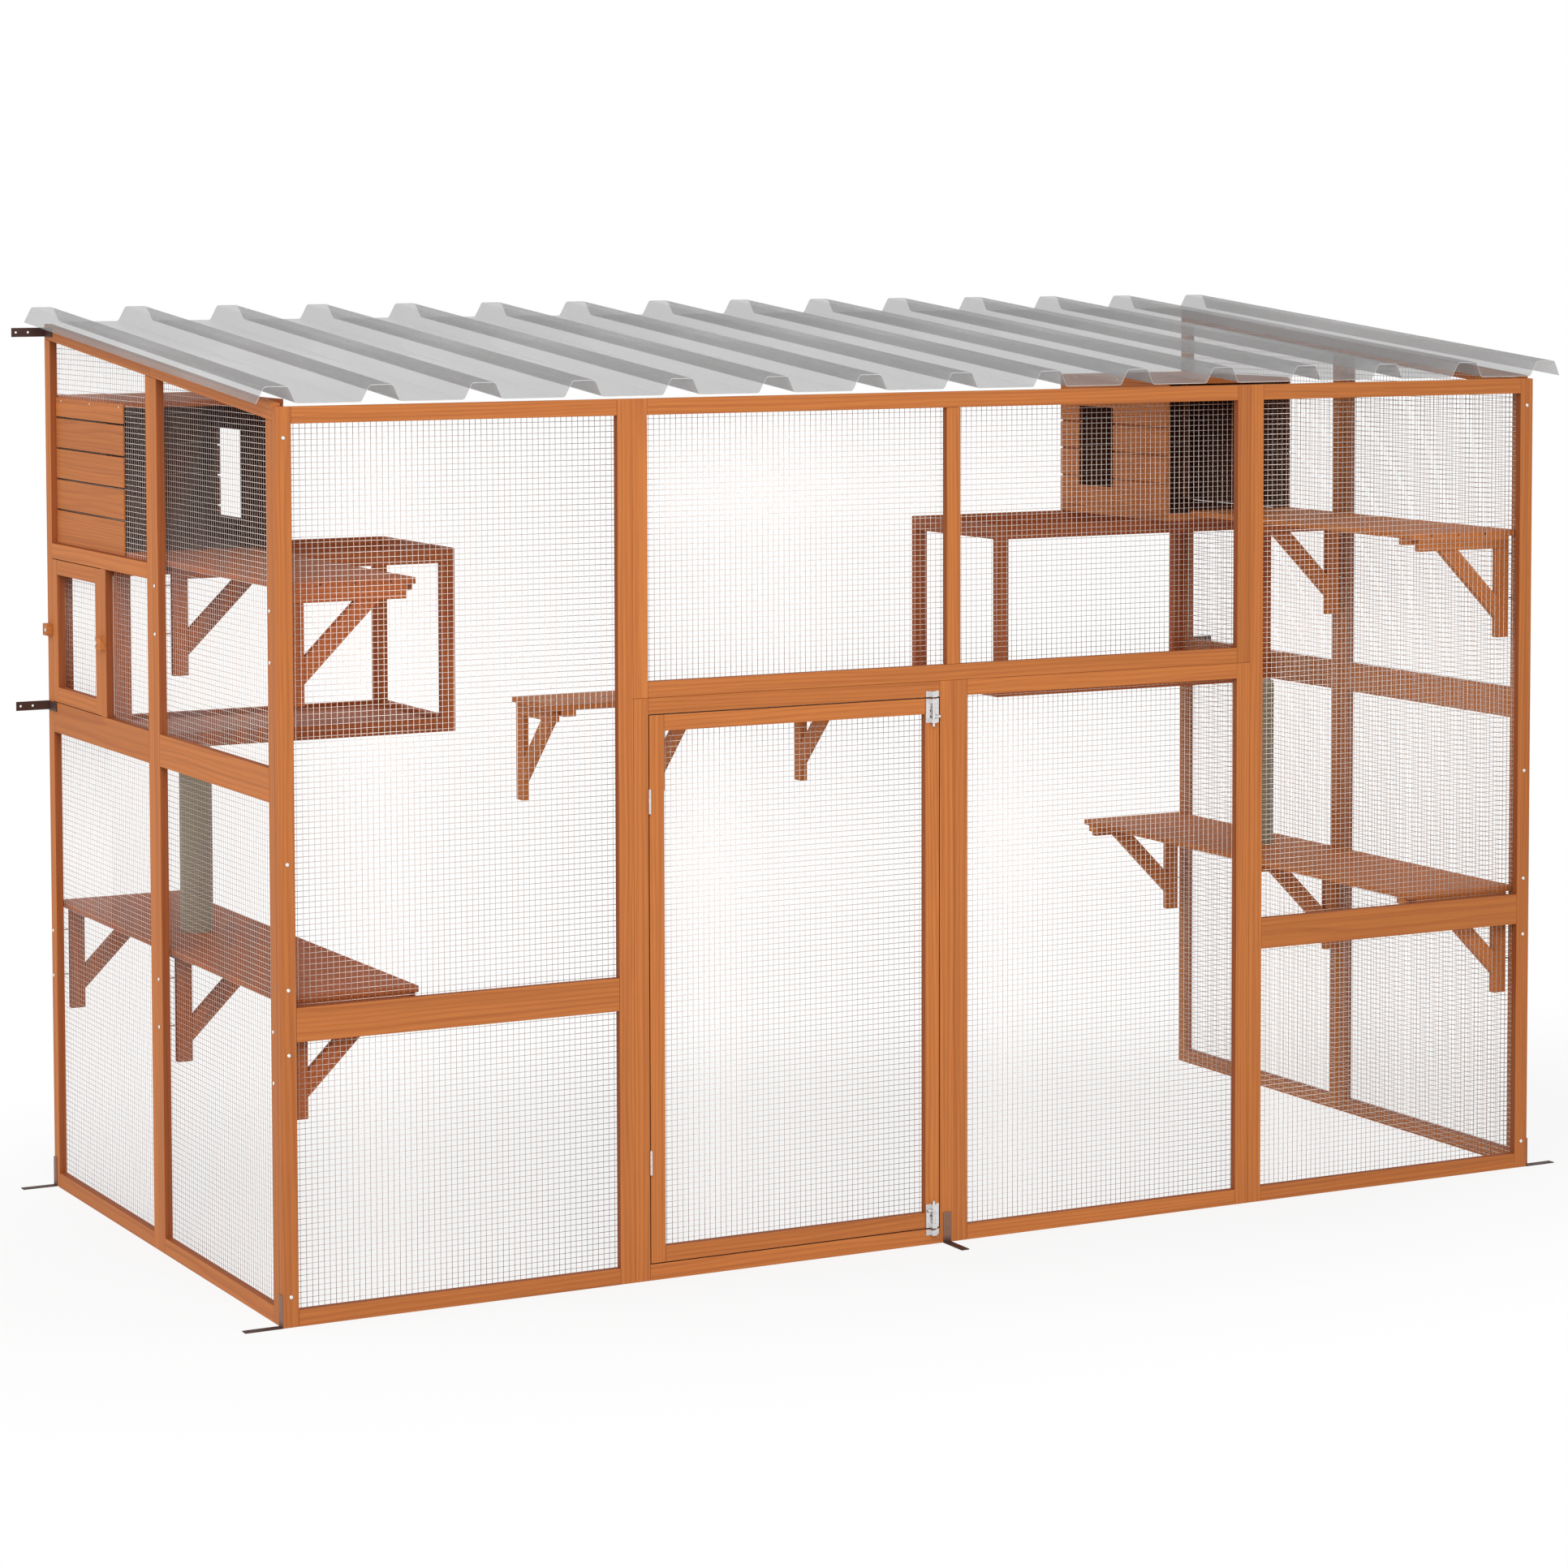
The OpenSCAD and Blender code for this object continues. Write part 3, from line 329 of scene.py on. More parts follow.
def mark_bays(mesh, thin_axis, gap):
    shade = mesh.faces.layers.float.new("shade")
    tree = BVHTree.FromBMesh(mesh)
    count = 0
    for face in mesh.faces:
        if thin_axis is None or abs(face.normal[thin_axis]) > FACES_OUT:
            continue
        start = face.calc_center_median() + face.normal * 0.5 * MM
        distance = tree.ray_cast(start, face.normal, RAY)[3]
        if distance is not None and distance > JOINT_AT_MOST:
            face[shade] = FULL_SHADE if gap == "inside" else HALF_SHADE
            count += 1
        elif distance is None and gap == "outside":
            face[shade] = FULL_SHADE
            count += 1
    return count


def mark_room(mesh, middle):
    shade = mesh.faces.layers.float["shade"]
    for face in mesh.faces:
        way = (middle - face.calc_center_median()).normalized()
        if way.dot(face.normal) > 0.45:  # within about 60 degrees of facing the middle
            face[shade] = FULL_SHADE


print("shade rules ready")

# %% [markdown]
# ## The outer frames
# The pieces are made node by node: the grain is laid, the edges are rounded as sandpaper would,
# and the shaded faces are marked. `thin_axis` is the axis through the wall. `gap` says whether
# a frame's inside or its outside looks into the narrow gap round a door.

# %% Make the outer pieces
EASED_EDGE = 1.2 * MM
SHARP = 0.5  # radians: an edge that turns more than this is rounded


def dress_wood(node, body, finish, thin_axis=None, ease=EASED_EDGE, gap="", room=None):
    mesh = clean_copy(node)
    count = lay_grain(mesh)
    sharp = [e for e in mesh.edges if len(e.link_faces) == 2 and e.calc_face_angle(0) > SHARP]
    bmesh.ops.bevel(mesh, geom=sharp, offset=ease, segments=2, affect="EDGES", profile=0.5,
                    clamp_overlap=True)
    bays = mark_bays(mesh, thin_axis, gap)
    if room:
        mark_room(mesh, room)
    add_piece("fir_" + node, mesh, finish, body, node)
    return count, bays


ACROSS_X, ACROSS_Y = 0, 1
outer = dict.fromkeys(("front_left_frame", "front_right_frame", "front_upper_frame",
                       "door_surround", "front_lower_frame"), ACROSS_Y)
outer.update(dict.fromkeys(("left_front_frame", "left_back_frame",
                            "right_front_frame", "right_back_frame"), ACROSS_X))
made = {node: dress_wood(node, "catio", FRAME_FIR, axis,
                         gap="inside" if node == "door_surround" else "")
        for node, axis in outer.items()}
for body, axis in (("door", ACROSS_Y), ("hatch", ACROSS_X)):
    made[body] = dress_wood(body + "_frame", body, FRAME_FIR, axis, gap="outside")
for button in ("back_turn_button", "front_turn_button"):
    made[button] = dress_wood(button, button, FRAME_FIR, ease=1.6 * MM)
print("outer pieces", {name: count for name, (count, _) in made.items()})
print("faces round bays", sum(bays for _, bays in made.values()))

# %% [markdown]
# ## The furniture inside
# Shelves, brackets, window boxes and cat houses are the same fir under the same stain, painted
# darker and redder inside as painted shade. The cat houses' outer and back walls face the weather
# and take the frame's finish, without that painted shade. The pieces on the right and on the house
# wall, apart from the window box, are painted lighter again, as painted light where more light
# reaches them.

# %% Make the inner pieces
FURNITURE = ("condo", "box", "shelf", "platform", "brackets")
inside = sorted(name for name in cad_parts
                if name.startswith(("left_", "right_", "wall_shelf"))
                and any(word in name for word in FURNITURE))


def room_middle(side):
    return (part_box(side + "_condo_floor")[0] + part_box(side + "_condo_roof")[1]) / 2


counts = {}
for name in inside:
    slot, finish = "inner_wood", SHADED_INNER_FIR
    if name.endswith("condo_walls"):
        slot, finish = "frame_wood", FRAME_FIR
    # painted light on the right-hand and house-wall pieces
    elif name.startswith(("right_", "wall_shelf")) and "box" not in name:
        finish = LIGHT_PAINTED_FIR
    room = room_middle(name.split("_")[0]) if "condo" in name else None
    counts[name] = dress_wood(name, "catio", finish, room=room)[0]
print("inner pieces", sum(counts.values()), "in", len(counts), "nodes")

# %% [markdown]
# ## Painted-shade strips behind the right cat house's gaps
# The outer boards lie 4 mm apart. Seen from inside against a white background, those gaps would
# shine, while the real ones look dark. A thin strip in full painted shade closes each of them from
# behind, a dark piece that stands in for the shade in the gap. It stays a little inside the
# boards' ends and faces, and reaches just past the gap.

# %% Close the right gaps
BOARD_AT_MOST = 6 * MM  # the outer boards are the only pieces of the walls as thin as this


def outer_boards(side):
    return [span for span in spans(side + "_condo_walls")
            if span[0][1] - span[0][0] < BOARD_AT_MOST]


boards = sorted(outer_boards("right"), key=lambda span: span[2][0])
strips = bmesh.new()
for (xs, ys, under), (_, _, over) in zip(boards, boards[1:]):
    low = Vector((xs[0] + 1 * MM, ys[0] + 2 * MM, under[1] - 0.2 * MM))
    high = Vector((xs[1] - 1.5 * MM, ys[1] - 2 * MM, over[0] + 0.2 * MM))
    block = bmesh.ops.create_cube(strips, size=1)["verts"]
    bmesh.ops.scale(strips, verts=block, vec=high - low)
    bmesh.ops.translate(strips, verts=block, vec=(low + high) / 2)
strips.verts.layers.float_vector.new("grain")
strips.verts.layers.float.new("tone")
# full painted shade on every face of the strips
shade = strips.faces.layers.float.new("shade")
for face in strips.faces:
    face[shade] = FULL_SHADE
add_piece("painted_shade_strips", strips, SHADED_INNER_FIR, "catio")
print("strips", len(boards) - 1)

# %% [markdown]
# ## Galvanised welded wire
# The mesh is thin steel wire, welded about 12 mm apart across and 11 mm apart up, and dipped in
# zinc, which leaves it pale and slightly rough. A see-through image on a plane would be quick,
# but from the side it has no thickness. Each wire is a real six-sided bar here: the uprights lie
# towards the outside, and the cross wires lie behind them and touch them, as in welded mesh. A
# round wire is bright along its crown and dark along its flanks. Six sides hardly show that, so
# an attribute named `crown` darkens the flanks.


# %% Galvanised wire
def metal(name, tint, roughness, grit, flank=None):
    tree = finish_named(name)
    place = add_node(tree, "ShaderNodeTexCoord").outputs["Object"]
    speckle = add_node(tree, "ShaderNodeTexNoise", Vector=place, Scale=1 / grit,
                       Detail=3.0).outputs["Fac"]
    shine = add_node(tree, "ShaderNodeMapRange", Value=speckle, To_Min=roughness - 0.08,
                     To_Max=roughness + 0.1).outputs["Result"]
    dull = add_node(tree, "ShaderNodeValToRGB", Fac=speckle,
                    stops=[(0.35, (0.86, 0.86, 0.86, 1)), (0.65, (1, 1, 1, 1))]).outputs[0]
    tinted = add_node(tree, "ShaderNodeMix", MULTIPLIED,
                      i0=1.0, i6=colour(tint), i7=dull).outputs[2]
    if flank:
        crown = add_node(tree, "ShaderNodeAttribute", {"attribute_name": "crown"}).outputs["Fac"]
        tinted = add_node(tree, "ShaderNodeMix", BLENDED,
                          i0=crown, i6=colour(flank), i7=tinted).outputs[2]
    shader = add_node(tree, "ShaderNodeBsdfPrincipled", Base_Color=tinted, Metallic=1.0,
                      Roughness=shine)
    add_node(tree, "ShaderNodeOutputMaterial", Surface=shader.outputs[0])
    return bpy.data.materials[name]


WIRE_ZINC = metal("hot-dipped galvanised wire", "#FFECE1", 0.45, 12 * MM, flank="#6E6966")
print("finish", WIRE_ZINC.name)

# %% [markdown]
# ## Skin over rings
# A wire, a screw, a rope and a pressed sheet are all rings of points with faces between them and
# one face over each end. Blender's curves could do it, but a mesh keeps every point in hand.


# %% Faces between rings
def skin(mesh, rings):
    for one, two in zip(rings, rings[1:]):
        for k in range(len(one)):
            n = (k + 1) % len(one)
            mesh.faces.new((one[k], one[n], two[n], two[k])).smooth = True
    mesh.faces.new(list(reversed(rings[0])))
    mesh.faces.new(rings[-1])


def turns_of(count):
    return [2 * math.pi * k / count for k in range(count)]


print("the first corners of a six-sided wire, in radians", [round(t, 2) for t in turns_of(6)[:3]])

# %% [markdown]
# ## One wire
# A wire runs along one axis of its panel. It is a little flatter than it is wide, because each
# layer takes 58 % of the sheet's thickness, so that crossing wires sink into each other at
# their welds.

# %% Lay one wire
PITCH_ACROSS = 12.3 * MM
PITCH_UP = 11.07 * MM
WIRE = 1.1 * MM
WIRE_SIDES = 6
LAYER_SHARE = 0.58


def lay_wire(net, run, side, ends, middle, layer, depth):
    crown = net.verts.layers.float["crown"]
    thin = 3 - run - side  # the third axis, through the panel
    rings = []
    for reach in ends:
        ring = []
        for turn in turns_of(WIRE_SIDES):
            corner = Vector((0, 0, 0))
            corner[run] = reach
            corner[side] = middle + math.cos(turn) * WIRE / 2
            corner[thin] = layer + math.sin(turn) * depth / 2
            ring.append(net.verts.new(corner))
            ring[-1][crown] = abs(math.sin(turn))
        rings.append(ring)
    skin(net, rings)


def clear_runs(start, end, hole):
    if hole is None or hole[0] >= end or hole[1] <= start:
        return [(start, end)]
    return [run for run in ((start, hole[0]), (hole[1], end)) if run[1] - run[0] > PITCH_UP]


print("wire", WIRE / MM, "mm thick, every", PITCH_ACROSS / MM, "by", PITCH_UP / MM, "mm")

# %% [markdown]
# ## Cutting the wire to its panel
# Each panel's mesh is cut a little inside its frame, follows the sloping rail at the top of a
# side wall, and stops round the hatch. The limits come from the engineering net, so the wires
# stay where its flat sheet was. `tops` are the heights of its top edge at its two ends, and
# `hole` gives the lowest and highest point across and up that the wires leave free.


# %% Fill one panel with wire
def weld_net(node, body, hole=None):
    low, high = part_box(node)
    thin = 1 if high.y - low.y < high.x - low.x else 0
    flat = 1 - thin
    corners = [vertex.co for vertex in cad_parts[node].data.vertices]
    tops = [max(corner.z for corner in corners if abs(corner[flat] - side) < 0.1 * MM)
            for side in (low[flat], high[flat])]
    outward = low[thin] if thin == 1 or low.x < 0 else high[thin]
    inward = high[thin] if outward == low[thin] else low[thin]
    step = LAYER_SHARE * (inward - outward)
    front, back = outward + step / 2, inward - step / 2
    net = bmesh.new()
    net.verts.layers.float.new("crown")

    def top_at(u):
        return tops[0] + (tops[1] - tops[0]) * (u - low[flat]) / (high[flat] - low[flat])

    u = low[flat] + WIRE
    while u < high[flat] - WIRE:
        blocked = (hole[2], hole[3]) if hole and hole[0] < u < hole[1] else None
        for ends in clear_runs(low.z, top_at(u), blocked):
            lay_wire(net, 2, flat, ends, u, front, abs(step))
        u += PITCH_ACROSS
    z = low.z + WIRE
    while z < max(tops) - WIRE:
        start, end = low[flat], high[flat]
        if z > min(tops):
            meet = low[flat] + (z - tops[0]) / (tops[1] - tops[0]) * (high[flat] - low[flat])
            start, end = (meet, end) if tops[1] > tops[0] else (start, meet)
        blocked = (hole[0], hole[1]) if hole and hole[2] < z < hole[3] else None
        for ends in clear_runs(start, end, blocked):
            lay_wire(net, flat, 2, ends, z, back, abs(step))
        z += PITCH_UP
    count = len(net.verts) // (2 * WIRE_SIDES)
    bmesh.ops.recalc_face_normals(net, faces=net.faces)
    add_piece("wire_" + node, net, WIRE_ZINC, body, node)
    return count


print("a run shorter than", PITCH_UP / MM, "mm is left out")

# %% [markdown]
# ## All the panels
# Ten nodes are nets. The door's and the hatch's ride on their own bodies, and the left rear one
# leaves the hatch free.

# %% Make the wire meshes
HATCH_GAP = 1.5 * MM
hatch_low, hatch_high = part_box("hatch_frame")
opening = (hatch_low.y - HATCH_GAP, hatch_high.y + HATCH_GAP,
           hatch_low.z - HATCH_GAP, hatch_high.z + HATCH_GAP)
wires = {}
for node in sorted(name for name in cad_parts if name.endswith("_net")):
    body = {"door_net": "door", "hatch_net": "hatch"}.get(node, "catio")
    wires[node] = weld_net(node, body, opening if node == "left_back_net" else None)
print("wires", sum(wires.values()), wires)

# %% [markdown]
# ## The translucent roof
# The roof is one sheet of smoke-grey polycarbonate, pressed into fifteen ribs. Light comes
# through it, and its crests look darker because the eye goes through two or three layers there.
# Glass shading would be truest, but it is slow and noisy over a large sheet, so the plastic is
# partly see-through by its alpha, with a soft gloss on top. Each layer then dims what is behind.
# Where the sheet was sawn, its edge is frosted and pale.

# %% Smoke-grey polycarbonate
DRAW_LINES = (260, 2, 260)  # to the metre: lines 4 mm apart, drawn out along the slope
TOOTH = 2 * MM

tree = finish_named("smoke-grey polycarbonate")
place = add_node(tree, "ShaderNodeTexCoord").outputs["Object"]
lines = add_node(tree, "ShaderNodeMapping", Vector=place, Scale=DRAW_LINES).outputs[0]
drawn = add_node(tree, "ShaderNodeTexNoise", Vector=lines, Scale=1.0, Detail=2.0).outputs["Fac"]
sheet_shine = add_node(tree, "ShaderNodeMapRange", Value=drawn,
                       To_Min=0.3, To_Max=0.36).outputs["Result"]
sheet_tint = add_node(tree, "ShaderNodeValToRGB", Fac=drawn,
                      stops=[(0.3, colour("#989898")), (0.7, colour("#9E9E9E"))]).outputs[0]
ripple = add_node(tree, "ShaderNodeBump", Height=drawn, Strength=0.05,
                  Distance=0.3 * MM).outputs[0]
plastic = add_node(tree, "ShaderNodeBsdfPrincipled", Base_Color=sheet_tint,
                   Roughness=sheet_shine, Normal=ripple, IOR=1.58, Alpha=0.38)
add_node(tree, "ShaderNodeOutputMaterial", Surface=plastic.outputs[0])
ROOF_PLASTIC = bpy.data.materials["smoke-grey polycarbonate"]

tree = finish_named("polycarbonate, sawn edge")
place = add_node(tree, "ShaderNodeTexCoord").outputs["Object"]
teeth = add_node(tree, "ShaderNodeTexNoise", Vector=place, Scale=1 / TOOTH,
                 Detail=2.0).outputs["Fac"]
frost = add_node(tree, "ShaderNodeValToRGB", Fac=teeth,
                 stops=[(0.3, colour("#C8C8C8")), (0.7, colour("#E0E0E0"))]).outputs[0]
sawn = add_node(tree, "ShaderNodeBsdfPrincipled", Base_Color=frost, Roughness=0.6, IOR=1.58)
add_node(tree, "ShaderNodeOutputMaterial", Surface=sawn.outputs[0])
SAWN_EDGE = bpy.data.materials["polycarbonate, sawn edge"]
print("finishes", ROOF_PLASTIC.name, "and", SAWN_EDGE.name)

# %% [markdown]
# ## The roof's profile
# The engineering sheet has sharp folds, while a pressed sheet bends round a small radius. The
# profile is taken from the front end of that sheet, and its corners are rounded to 5 mm.

# %% Round the profile
BEND = 5 * MM
BEND_STEPS = 4
END_CORNERS = 20  # only the sheet's two ends have more corners than this


def sheet_profile():
    mesh = clean_copy("roof_sheet")
    ends = [face for face in mesh.faces if len(face.verts) > END_CORNERS]
    ends.sort(key=lambda face: face.calc_center_median().y)
    outline = [vertex.co.copy() for vertex in ends[0].verts]
    way = ends[-1].calc_center_median() - ends[0].calc_center_median()
    mesh.free()
    return outline, way


def rounded(outline):
    path, count = [], len(outline)
    for i, corner in enumerate(outline):
        before, after = outline[i - 1], outline[(i + 1) % count]
        reach = min(BEND, (before - corner).length / 3, (after - corner).length / 3)
        start = corner + (before - corner).normalized() * reach
        end = corner + (after - corner).normalized() * reach
        for k in range(BEND_STEPS + 1):
            t = k / BEND_STEPS
            path.append(start * (1 - t) ** 2 + corner * 2 * t * (1 - t) + end * t ** 2)
    return path


profile, back_way = sheet_profile()
bent = rounded(profile)
print("roof corners", len(profile), "points after bending", len(bent))

# %% [markdown]
# ## Pressing the roof sheet
# The rounded profile is swept back along the slope. The first 0.6 mm is a piece of its own, with
# the sawn finish.


# %% Make the roof sheet
def sweep(name, start, end, finish, node=None):
    roof = bmesh.new()
    skin(roof, [[roof.verts.new(point + back_way * share) for point in bent]
                for share in (start, end)])
    bmesh.ops.recalc_face_normals(roof, faces=roof.faces)
    add_piece(name, roof, finish, "catio", node)


sawn_share = 0.6 * MM / back_way.length
sweep("roof_plastic", sawn_share, 1, ROOF_PLASTIC, "roof_sheet")
sweep("roof_sawn_edge", 0, sawn_share, SAWN_EDGE)
print("the sheet is", round(back_way.length, 3), "metres long")

# %% [markdown]
# ## Sisal rope
# A scratching post is a core wound tightly with sisal, a pale, hairy plant fibre. A bump
# pattern on a cylinder would look flat at its edge, so the rope is a real helix of one tube.
# Its colour changes along the fibres.

# %% Sisal
STRANDS = (300, 300, 1100)  # to the metre: hairs about 1 mm thick, lying round the post

tree = finish_named("sisal rope")
place = add_node(tree, "ShaderNodeTexCoord").outputs["Object"]
strands = add_node(tree, "ShaderNodeMapping", Vector=place, Scale=STRANDS).outputs[0]
hairs = add_node(tree, "ShaderNodeTexNoise", Vector=strands, Scale=1.0, Detail=5.0,
                 Roughness=0.7).outputs["Fac"]
straw = add_node(tree, "ShaderNodeValToRGB", Fac=hairs,
                 stops=[(0.3, colour("#716A56")), (0.5, colour("#938B73")),
                        (0.75, colour("#B5AD92"))]).outputs[0]
fuzz = add_node(tree, "ShaderNodeBump", Height=hairs, Strength=0.6, Distance=0.5 * MM).outputs[0]
sisal = add_node(tree, "ShaderNodeBsdfPrincipled", Base_Color=straw, Roughness=0.9,
                 Normal=fuzz, Sheen_Weight=0.3, Sheen_Roughness=0.5)
add_node(tree, "ShaderNodeOutputMaterial", Surface=sisal.outputs[0])
SISAL = bpy.data.materials["sisal rope"]
print("finish", SISAL.name)

# %% [markdown]
# ## Winding the posts
# The rope climbs by its own thickness in each turn, so the turns touch. A core inside the helix
# closes what could be seen between them.

# %% Wind the posts
ROPE = 6 * MM
STEPS_A_TURN = 24
ROPE_SIDES = 8
CORE_SIDES = 40
UP = Vector((0, 0, 1))


def wind_post(node):
    low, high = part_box(node)
    middle = (low + high) / 2
    lay = (high.x - low.x) / 2 - ROPE / 2
    turns = (high.z - low.z - ROPE) / ROPE
    mesh = bmesh.new()
    rings = []
    for i in range(int(turns * STEPS_A_TURN) + 1):
        angle = 2 * math.pi * i / STEPS_A_TURN
        out = Vector((math.cos(angle), math.sin(angle), 0))
        climb = low.z + ROPE / 2 + ROPE * angle / (2 * math.pi)
        at = Vector((middle.x, middle.y, climb)) + out * lay
        rings.append([mesh.verts.new(at + (out * math.cos(t) + UP * math.sin(t)) * ROPE / 2)
                      for t in turns_of(ROPE_SIDES)])
    skin(mesh, rings)
    core = bmesh.ops.create_cone(mesh, cap_ends=True, segments=CORE_SIDES, radius1=lay,
                                 radius2=lay, depth=high.z - low.z)["verts"]
    bmesh.ops.translate(mesh, verts=core, vec=middle)
    bmesh.ops.recalc_face_normals(mesh, faces=mesh.faces)
    add_piece("rope_" + node, mesh, SISAL, "catio", node)
    return turns


posts = ("left_sisal_post", "right_sisal_post")
print("turns of rope", [round(wind_post(node), 1) for node in posts])

# %% [markdown]
# ## Zinc-plated hardware and painted straps
# Hinges and barrel bolts are pressed from zinc-plated steel, which is bright and only a little
# rough. The uprights of the ground straps are painted paler than their feet, as a painted
# reflection, so their coat changes with the height.


# %% Plated and painted steel
def painted(name, tint, roughness, grit, dusty=None):
    tree = finish_named(name)
    place = add_node(tree, "ShaderNodeTexCoord").outputs["Object"]
    peel = add_node(tree, "ShaderNodeTexNoise", Vector=place, Scale=1 / grit,
                    Detail=2.0).outputs["Fac"]
    relief = add_node(tree, "ShaderNodeBump", Height=peel, Strength=0.2,
                      Distance=0.1 * MM).outputs[0]
    shine = add_node(tree, "ShaderNodeMapRange", Value=peel, To_Min=roughness - 0.06,
                     To_Max=roughness + 0.06).outputs["Result"]
    paint = colour(tint)
    worn = (*(1.25 * part for part in paint[:3]), 1)
    coat = add_node(tree, "ShaderNodeValToRGB", Fac=peel,
                    stops=[(0.3, paint), (0.7, worn)]).outputs[0]
    if dusty:
        # painted reflection: the coat turns to the paler tint from 2 to 16 mm above the ground
        height = add_node(tree, "ShaderNodeSeparateXYZ", Vector=place).outputs["Z"]
        above = add_node(tree, "ShaderNodeMapRange", Value=height, From_Min=2 * MM,
                         From_Max=16 * MM).outputs["Result"]
        coat = add_node(tree, "ShaderNodeMix", BLENDED, i0=above, i6=coat,
                        i7=colour(dusty)).outputs[2]
    shader = add_node(tree, "ShaderNodeBsdfPrincipled", Base_Color=coat, Roughness=shine,
                      Normal=relief, IOR=1.5)
    add_node(tree, "ShaderNodeOutputMaterial", Surface=shader.outputs[0])
    return bpy.data.materials[name]


PLATED = metal("bright zinc-plated steel", "#E6E5E5", 0.34, 6 * MM)
SCREW_STEEL = metal("zinc-plated screw steel", "#F0EDE8", 0.35, 3 * MM)
BROWN_COAT = painted("dark brown powder coat", "#3A1F17", 0.5, 1.2 * MM)
# painted reflection: paler uprights over the dark brown coat
REFLECTION_PAINTED_COAT = painted("dusty brown powder coat", "#3A1F17", 0.6, 1.2 * MM, dusty="#84604F")
print("finishes", ", ".join(coat.name for coat in (PLATED, SCREW_STEEL, BROWN_COAT, REFLECTION_PAINTED_COAT)))

# %% [markdown]
# ## Finish the hardware
# The engineering shapes of the hinges, bolts and straps are right as they are, so they stay and
# only take a better finish.

# %% Give the hardware its finish
hardware = dict.fromkeys(("door_hinge_leaves", "surround_hinge_leaves", "hinge_pins",
                          "bolt_plates", "bolt_keepers", "top_bolt", "bottom_bolt"), PLATED)
hardware.update(wall_brackets=BROWN_COAT, ground_brackets=REFLECTION_PAINTED_COAT,
                turn_button_screws=SCREW_STEEL)
for node, finish in hardware.items():
    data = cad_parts[node].data
    data.materials.clear()
    data.materials.append(finish)
print("plated and painted", len(hardware), "nodes")

# %% [markdown]
# ## Screw heads
# A wood screw's head is a low dome with a cross recess. A plain disc would do from afar, but
# close up the recess tells that it is a screw. The dome's rings follow a sphere and narrow to
# 28 % of the head's radius. The recess is one more ring, pressed in and shaped as a small cross.

# %% Model one screw head
HEAD_SIDES = 24
DOME_ROWS = 5
ARM_EVERY = HEAD_SIDES // 4


def screw_head(mesh, radius, height):
    rings = []
    for row in range(DOME_ROWS):
        up = row / (DOME_ROWS - 1)
        wide = radius * (1 - 0.72 * up)
        lift = height * math.sin(math.pi / 2 * (0.25 + 0.75 * up)) if row else 0.0
        rings.append([mesh.verts.new((wide * math.cos(a), wide * math.sin(a), lift))
                      for a in turns_of(HEAD_SIDES)])
    arm, waist, deep = radius * 0.26, radius * 0.108, height * 0.35
    cross = []
    for k, a in enumerate(turns_of(HEAD_SIDES)):
        reach = arm if k % ARM_EVERY == 0 else waist
        cross.append(mesh.verts.new((reach * math.cos(a), reach * math.sin(a), deep)))
    rings.append(cross)
    skin(mesh, rings)
    return [vertex for ring in rings for vertex in ring]


sample = bmesh.new()
screw_head(sample, 4.5 * MM, 2 * MM)
print("faces in one head", len(sample.faces))
sample.free()

# %% [markdown]
# ## Shanks
# Behind each shelf bracket's leg, two screws cross the narrow gap to the mesh. Only a stretch of
# their shanks shows, and a row of ridges gives it the look of a thread.

# %% Model one shank
THREAD = 1.8 * MM
SHANK_RADIUS = 1.9 * MM
SHANK_SIDES = 10


def pointed(place, way):
    return Matrix.Translation(place) @ UP.rotation_difference(Vector(way)).to_matrix().to_4x4()


def shank(mesh, start, end):
    length = (end - start).length
    rows = 2 * round(length / THREAD) + 1
    rings = []
    for row in range(rows):
        wide = SHANK_RADIUS if row % 2 else 0.72 * SHANK_RADIUS
        rings.append([mesh.verts.new((wide * math.cos(a), wide * math.sin(a),
                                      length * row / (rows - 1))) for a in turns_of(SHANK_SIDES)])
    skin(mesh, rings)
    bmesh.ops.transform(mesh, matrix=pointed(start, end - start),
                        verts=[vertex for ring in rings for vertex in ring])


print("shank", 2 * SHANK_RADIUS / MM, "mm thick, ridges", THREAD / MM, "mm apart")

# %% [markdown]
# ## Put the screws in
# The thirty heads and twenty shanks sit where the engineering ones are, so their places are
# read from that node: a long solid is a shank, and a short one is a head that faces out along
# its thinnest side. Each head is turned by a random amount, as a screwdriver leaves it.

# %% Place the frame's screws
HEAD_AT_MOST = 12 * MM


def place_screws(name, spots, body, radius, height, finish=SCREW_STEEL, node=None, shanks=()):
    mesh = bmesh.new()
    for start, end in shanks:
        shank(mesh, start, end)
    for place, outward in spots:
        head = screw_head(mesh, radius, height)
        spin = Matrix.Rotation(rng.uniform(0, math.pi), 4, "Z")
        bmesh.ops.transform(mesh, matrix=pointed(place, outward) @ spin, verts=head)
    bmesh.ops.recalc_face_normals(mesh, faces=mesh.faces)
    add_piece(name, mesh, finish, body, node)
    print(name, len(spots), "heads,", len(shanks), "shanks")


spots, shanks = [], []
for span in spans("frame_screws"):
    low, high = (Vector([ends[k] for ends in span]) for k in (0, 1))
    middle, size = (low + high) / 2, high - low
    if max(size) > HEAD_AT_MOST:
        reach = Vector((size.x / 2, 0, 0))
        shanks.append((middle - reach, middle + reach))
        continue
    thin = min(range(3), key=lambda i: size[i])
    outward = Vector((0, 0, 0))
    outward[thin] = 1 if thin == 0 and low.x > 0 else -1
    spots.append((middle - outward * size[thin] / 2, outward))
place_screws("post_screws", spots, "catio", 4.4 * MM, 1.9 * MM, node="frame_screws", shanks=shanks)
